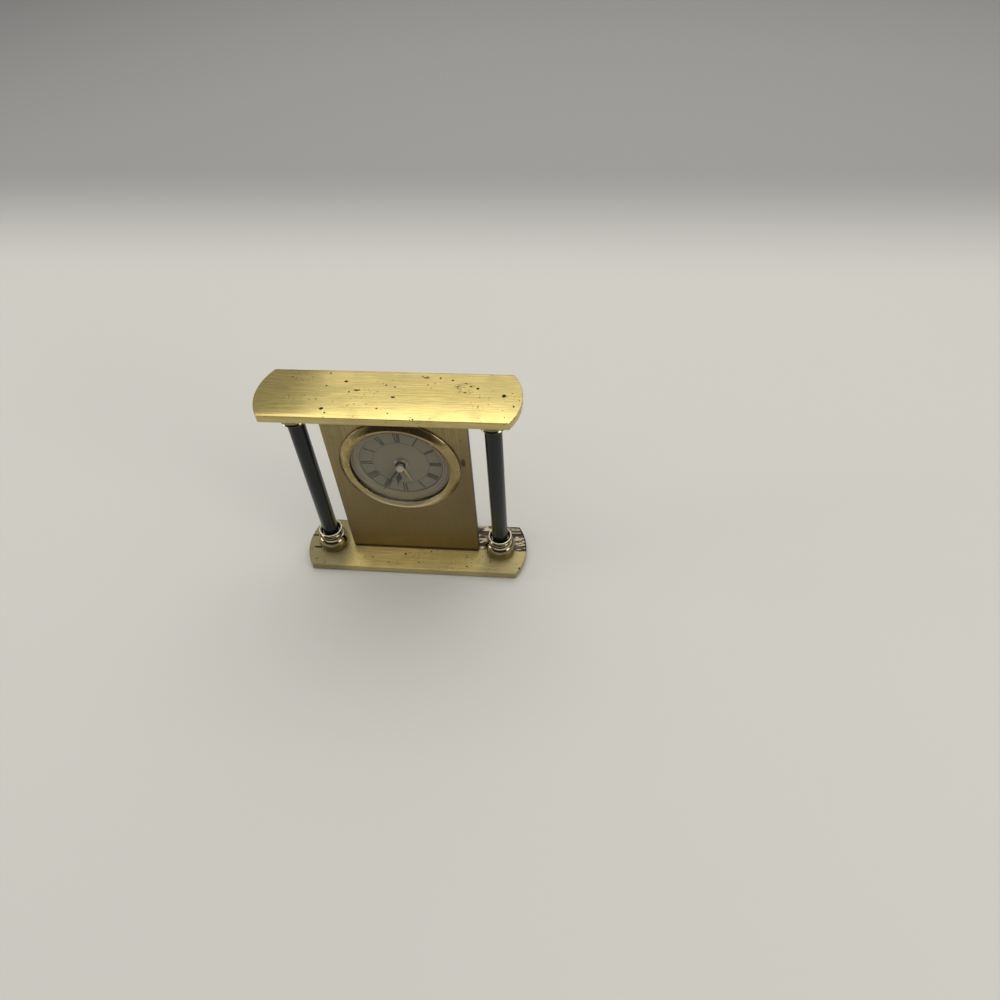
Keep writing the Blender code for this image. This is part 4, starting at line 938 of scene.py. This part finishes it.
def make_hands():
    pointer = [(0.42 * mm, 2 * mm), (0.5 * mm, 7 * mm), (0.5 * mm, 14 * mm), (0.33 * mm, 16.6 * mm),
               (0.08 * mm, 18.6 * mm)]
    needle = [(0.36 * mm, 3 * mm), (0.16 * mm, 11.5 * mm)]
    spade = spade_side(13.9 * mm, 8.2 * mm, 1.42 * mm)
    for node, side, hub, bore, angle, finish, slot, body in (
            ("hour_hand", spade, 2.45 * mm, 1.3 * mm, 193, "hands", "hand_black", "hour"),
            ("minute_hand", pointer, 1.7 * mm, 0.75 * mm, 213, "hands", "hand_black", "minute"),
            ("alarm_hand", needle, 2.25 * mm, 1.85 * mm, 160, "gilt", "hand_gold", "alarm")):
        low, high = heights(node)
        leaf = plate([hand_outline(hub, side), circle(bore, 40)], low, high, 0.05 * mm)
        add(node + "_leaf", on_face(moved(leaf, turn=-radians(angle))), finishes[finish], (node,), body)
    low, high = heights("hand_cap")
    radius = radius_of("hand_cap")
    side = low + 0.3 * mm
    turns = [pi / 2 * share for share in shares(10)]
    profile = [(0, high)] + [(radius * sin(turn), side + (high - side) * cos(turn)) for turn in turns]
    profile += [(radius, low), (0.75 * mm, low), (0.75 * mm, low + 0.5 * mm), (0, low + 0.5 * mm)]
    add("cap_dome", on_face(lathe(profile, 64)), finishes["cap"], ("hand_cap",), "minute")


# Rear of the insert


def shaft_place(node):
    place = middle(node)
    return place.x, place.z - face_height


def make_case(ring):
    low, high = heights("case")
    outer, neck, body, lip = 24.6 * mm, 23.9 * mm, 23.2 * mm, 22.6 * mm
    hollow, dish_edge = 22.0 * mm, 21.0 * mm
    shoulder = -0.8 * mm
    ledge = -2.5 * mm
    floor = -11.0 * mm
    dish = low + 0.3 * mm
    outside = [(lip, high), (neck, high), (neck, shoulder), (outer, shoulder), (outer, -5.2 * mm),
               (body, -7.0 * mm), (body, low + 0.8 * mm), (body - 0.8 * mm, low), (dish_edge, low),
               (dish_edge - 0.15 * mm, dish), (0, dish)]
    inside = [(0, floor), (hollow, floor), (hollow, ledge), (lip, ledge)]
    shell = lathe(eased(outside, 0.18 * mm) + inside, 128, True)
    cover = [limit - face_height for limit in limits("battery_cover", 2)]
    through = (low - 1 * mm, -10.4 * mm)
    cutters = [moved(drum(0.95 * mm, *through, 32), *shaft_place(knob))
               for knob in ("time_set_knob", "alarm_set_knob")]
    cutters += [block(-6.2 * mm, 6.2 * mm, cover[0] - 0.2 * mm, cover[1] + 0.2 * mm, *through, 0.02 * mm),
                block(10.1 * mm, 14.3 * mm, -7.4 * mm, -5.6 * mm, *through, 0.02 * mm)]
    cutters += [moved(drum(0.7 * mm, *through, 24), across, up)
                for across, up in circle(2.6 * mm, 6, -13.2 * mm, -7.5 * mm)]
    add("case_shell", on_face(carved(shell, cutters)), finishes["case"], ("case",))
    grip_low, grip_high = heights("grip_ring")
    grip = radius_of("grip_ring")
    inner = outer + 0.2 * mm
    hoop = lathe(eased([(grip - 0.5 * mm, grip_high), (grip - 0.5 * mm, grip_low), (inner, grip_low),
                        (inner, grip_high)], 0.2 * mm, closed=True), 128, True)
    ribs = ring.grow(block(-0.4 * mm, 0.0, -0.45 * mm, 0.45 * mm, grip_low + 0.15 * mm, grip_high - 0.15 * mm,
                           0.15 * mm), Count=72, Radius=grip, Finish=finishes["rubber"])
    band = joined(dressed(hoop, finishes["rubber"]), ribs)
    add("grip_band", on_face(band), None, ("grip_ring",))


def make_knobs(ring):
    """Ridged knobs with a dished face, each on the shaft that goes into the case."""
    radius = 2.75 * mm
    shaft = 0.75 * mm
    for node, body, teeth, module, level in (("time_set_knob", "time_knob", 6, 0.5 * mm, -4.3 * mm),
                                             ("alarm_set_knob", "alarm_knob", 10, 0.4 * mm, -2.6 * mm)):
        low, high = heights(node)
        face = low + 1.9 * mm
        dish = low + 0.25 * mm
        side = eased([(1.7 * mm, dish), (1.95 * mm, low), (radius, low), (radius, face), (shaft, face),
                      (shaft, high)], 0.12 * mm)
        knob = dressed(lathe([(0, dish), *side, (0, high)], 72), finishes["case"])
        ridge = lathe(eased([(0, low + 0.12 * mm), (0.22 * mm, low + 0.12 * mm), (0.22 * mm, face - 0.1 * mm),
                             (0, face - 0.1 * mm)], 0.08 * mm), 10)
        ridges = ring.grow(ridge, Count=26, Radius=radius + 0.01 * mm, Finish=finishes["case"])
        pinion = slab(toothed(teeth, module), level - 0.6 * mm, level, 0.03 * mm, 1)
        whole = moved(joined(knob, ridges, dressed(pinion, finishes["case"])), *shaft_place(node))
        add(node + "_body", on_face(whole), None, (node,), body)


def toothed(teeth, module):
    """The outline of a small pinion."""
    pitch = module * teeth / 2
    corners = ((-1.1, -0.27), (0.8, -0.05), (0.8, 0.05), (-1.1, 0.27))
    return [((pitch + rise * module) * cos(tau * (tooth + side) / teeth),
             (pitch + rise * module) * sin(tau * (tooth + side) / teeth))
            for tooth in range(teeth) for rise, side in corners]


def make_cover(row):
    (left, front, low), (right, back, high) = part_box("battery_cover")
    bottom = low - face_height
    top = high - face_height
    outer = -back
    inner = -front
    notch = moved(drum(1.6 * mm, outer - 1 * mm, outer + 0.6 * mm, 40), 0, bottom)
    flap = carved(block(left, right, bottom, top, outer, inner, 0.12 * mm), [notch])
    rib = block(-3.2 * mm, 3.2 * mm, -0.18 * mm, 0.18 * mm, outer - 0.18 * mm, outer + 0.3 * mm, 0.08 * mm)
    ribs = row.grow(rib, Count=4, Start=(0, bottom + 3.0 * mm, 0), Step=(0, 0.9 * mm, 0),
                    Finish=finishes["case"])
    plus = joined(*(block(-wide, wide, -tall, tall, outer - 0.12 * mm, outer + 0.2 * mm, 0.04 * mm)
                    for wide, tall in ((0.22 * mm, 1.1 * mm), (1.1 * mm, 0.22 * mm))))
    plus = moved(dressed(plus, finishes["case"]), 0, top - 2.6 * mm)
    whole = joined(dressed(flap, finishes["case"]), ribs, plus)
    add("battery_flap", on_face(whole), None, ("battery_cover",), "battery_cover")


def make_switch(row):
    (left, front, low), (right, back, high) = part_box("alarm_switch")
    centre = ((left + right) / 2, (low + high) / 2 - face_height)
    grip = block(-1.3 * mm, 1.3 * mm, -1.3 * mm, 1.3 * mm, -back + 0.15 * mm, -12.4 * mm, 0.15 * mm)
    stem = block(-0.7 * mm, 0.7 * mm, -0.7 * mm, 0.7 * mm, -12.6 * mm, -10.6 * mm, 0.04 * mm)
    foot = block(-1.3 * mm, 1.3 * mm, -1.3 * mm, 1.3 * mm, -10.8 * mm, -front, 0.06 * mm)
    solid = [dressed(part, finishes["case"]) for part in (grip, stem, foot)]
    ridges = row.grow(block(-0.16 * mm, 0.16 * mm, -1.15 * mm, 1.15 * mm, -back, -back + 0.5 * mm, 0.07 * mm),
                      Count=4, Start=(-0.84 * mm, 0, 0), Step=(0.56 * mm, 0, 0), Finish=finishes["case"])
    add("switch_slide", on_face(moved(joined(*solid, ridges), *centre)), None,
        ("alarm_switch",), "alarm_switch")


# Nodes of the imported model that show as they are


node_finishes = {
    "panel": ["face_panel"],
    "steel": ["tie_screw_left", "tie_screw_right", "panel_screw_left", "panel_screw_right", "panel_pin_left",
              "panel_pin_right", "minute_arbor", "stator", "coil_core", "battery_contact_minus",
              "battery_contact_plus"],
    "gilt": ["buzzer"],
    "white": ["main_plate", "train_plate", "train_bridge"],
    "gear": ["hour_wheel", "motion_wheel", "alarm_wheel", "centre_wheel", "third_wheel", "seconds_wheel",
             "intermediate_wheel"],
    "magnet": ["rotor"],
    "copper": ["coil"],
    "board": ["circuit_board"],
    "cell": ["battery", "quartz_crystal"],
}


def finish_nodes():
    for finish, names in node_finishes.items():
        for name in names:
            for slot in nodes[name].material_slots:
                slot.material = finishes[finish]


# Table, light and camera


def make_table():
    work = bmesh.new()
    bmesh.ops.create_grid(work, x_segments=1, y_segments=1, size=4.0)
    table = placed("table_top", settled(work))
    sheet = Finish("table_sheet", 0.9)
    deep = sheet.parts_of(sheet.where)[1]
    sheet.paint(sheet.blend(deep.fade(0.24, 0.42), (0.64, 0.625, 0.565), (0.34, 0.333, 0.32)))
    table.data.materials.append(sheet.material)


def make_light():
    world = bpy.data.worlds.new("room")
    bpy.context.scene.world = world
    world.use_nodes = True
    room = Network()
    room.tree = world.node_tree
    back = room.tree.nodes["Background"]
    ray = room.node("ShaderNodeLightPath", output="Is Camera Ray")
    direction = room.node("ShaderNodeTexCoord", output="Generated")
    across, deep = room.parts_of(direction)[:2]
    tone = deep.fade(-0.1, 0.9, 0.035, 0.16).at_least(abs(across).fade(0.62, 0.86, 0.0, 0.3))
    seen = room.node("ShaderNodeMix", {0: ray, 6: tone, 7: (0.62, 0.615, 0.58, 1)}, 2, data_type="RGBA")
    room.tree.links.new(seen.socket, back.inputs["Color"])
    for name, place, target, size, power in (
            ("rear_panel", (0.13, 0.64, 0.74), (0.04, 0, 0.08), (1.25, 0.9), 2.5),
            ("overhead_panel", (0.1, 0.0, 1.5), (0, 0, 0.05), (2.6, 2.6), 26),
            ("left_window", (-1.0, -0.08, 0.32), (0, 0, 0), (0.42, 0.42), 2.4),
            ("right_window", (0.95, -0.5, 0.38), (0, 0, 0), (0.42, 0.42), 2.4)):
        light = bpy.data.lights.new(name, "AREA")
        light.shape = "RECTANGLE"
        light.size, light.size_y = size
        light.energy = power
        lamp = placed(name, light)
        lamp.location = place
        lamp.rotation_euler = (Vector(target) - Vector(place)).to_track_quat("-Z", "Y").to_euler()


def make_camera():
    lens = bpy.data.cameras.new("view")
    lens.sensor_fit = "HORIZONTAL"
    lens.sensor_width = 36.0
    lens.lens = 27.04
    lens.clip_start = 0.01
    camera = placed("view", lens)
    camera.location = (0.0743, -0.22637, 0.30418)
    camera.rotation_euler = (radians(41.0215), radians(2.3108), radians(5.0774))
    bpy.context.scene.camera = camera
    bpy.context.scene.view_settings.view_transform = "Standard"


def main():
    make_camera()
    make_light()
    make_table()
    ring = ring_pattern()
    row = row_pattern()
    make_bars()
    make_pad()
    make_columns()
    make_bezel()
    make_lens()
    make_dial()
    make_hands()
    make_case(ring)
    make_knobs(ring)
    make_cover(row)
    make_switch(row)
    finish_nodes()


main()
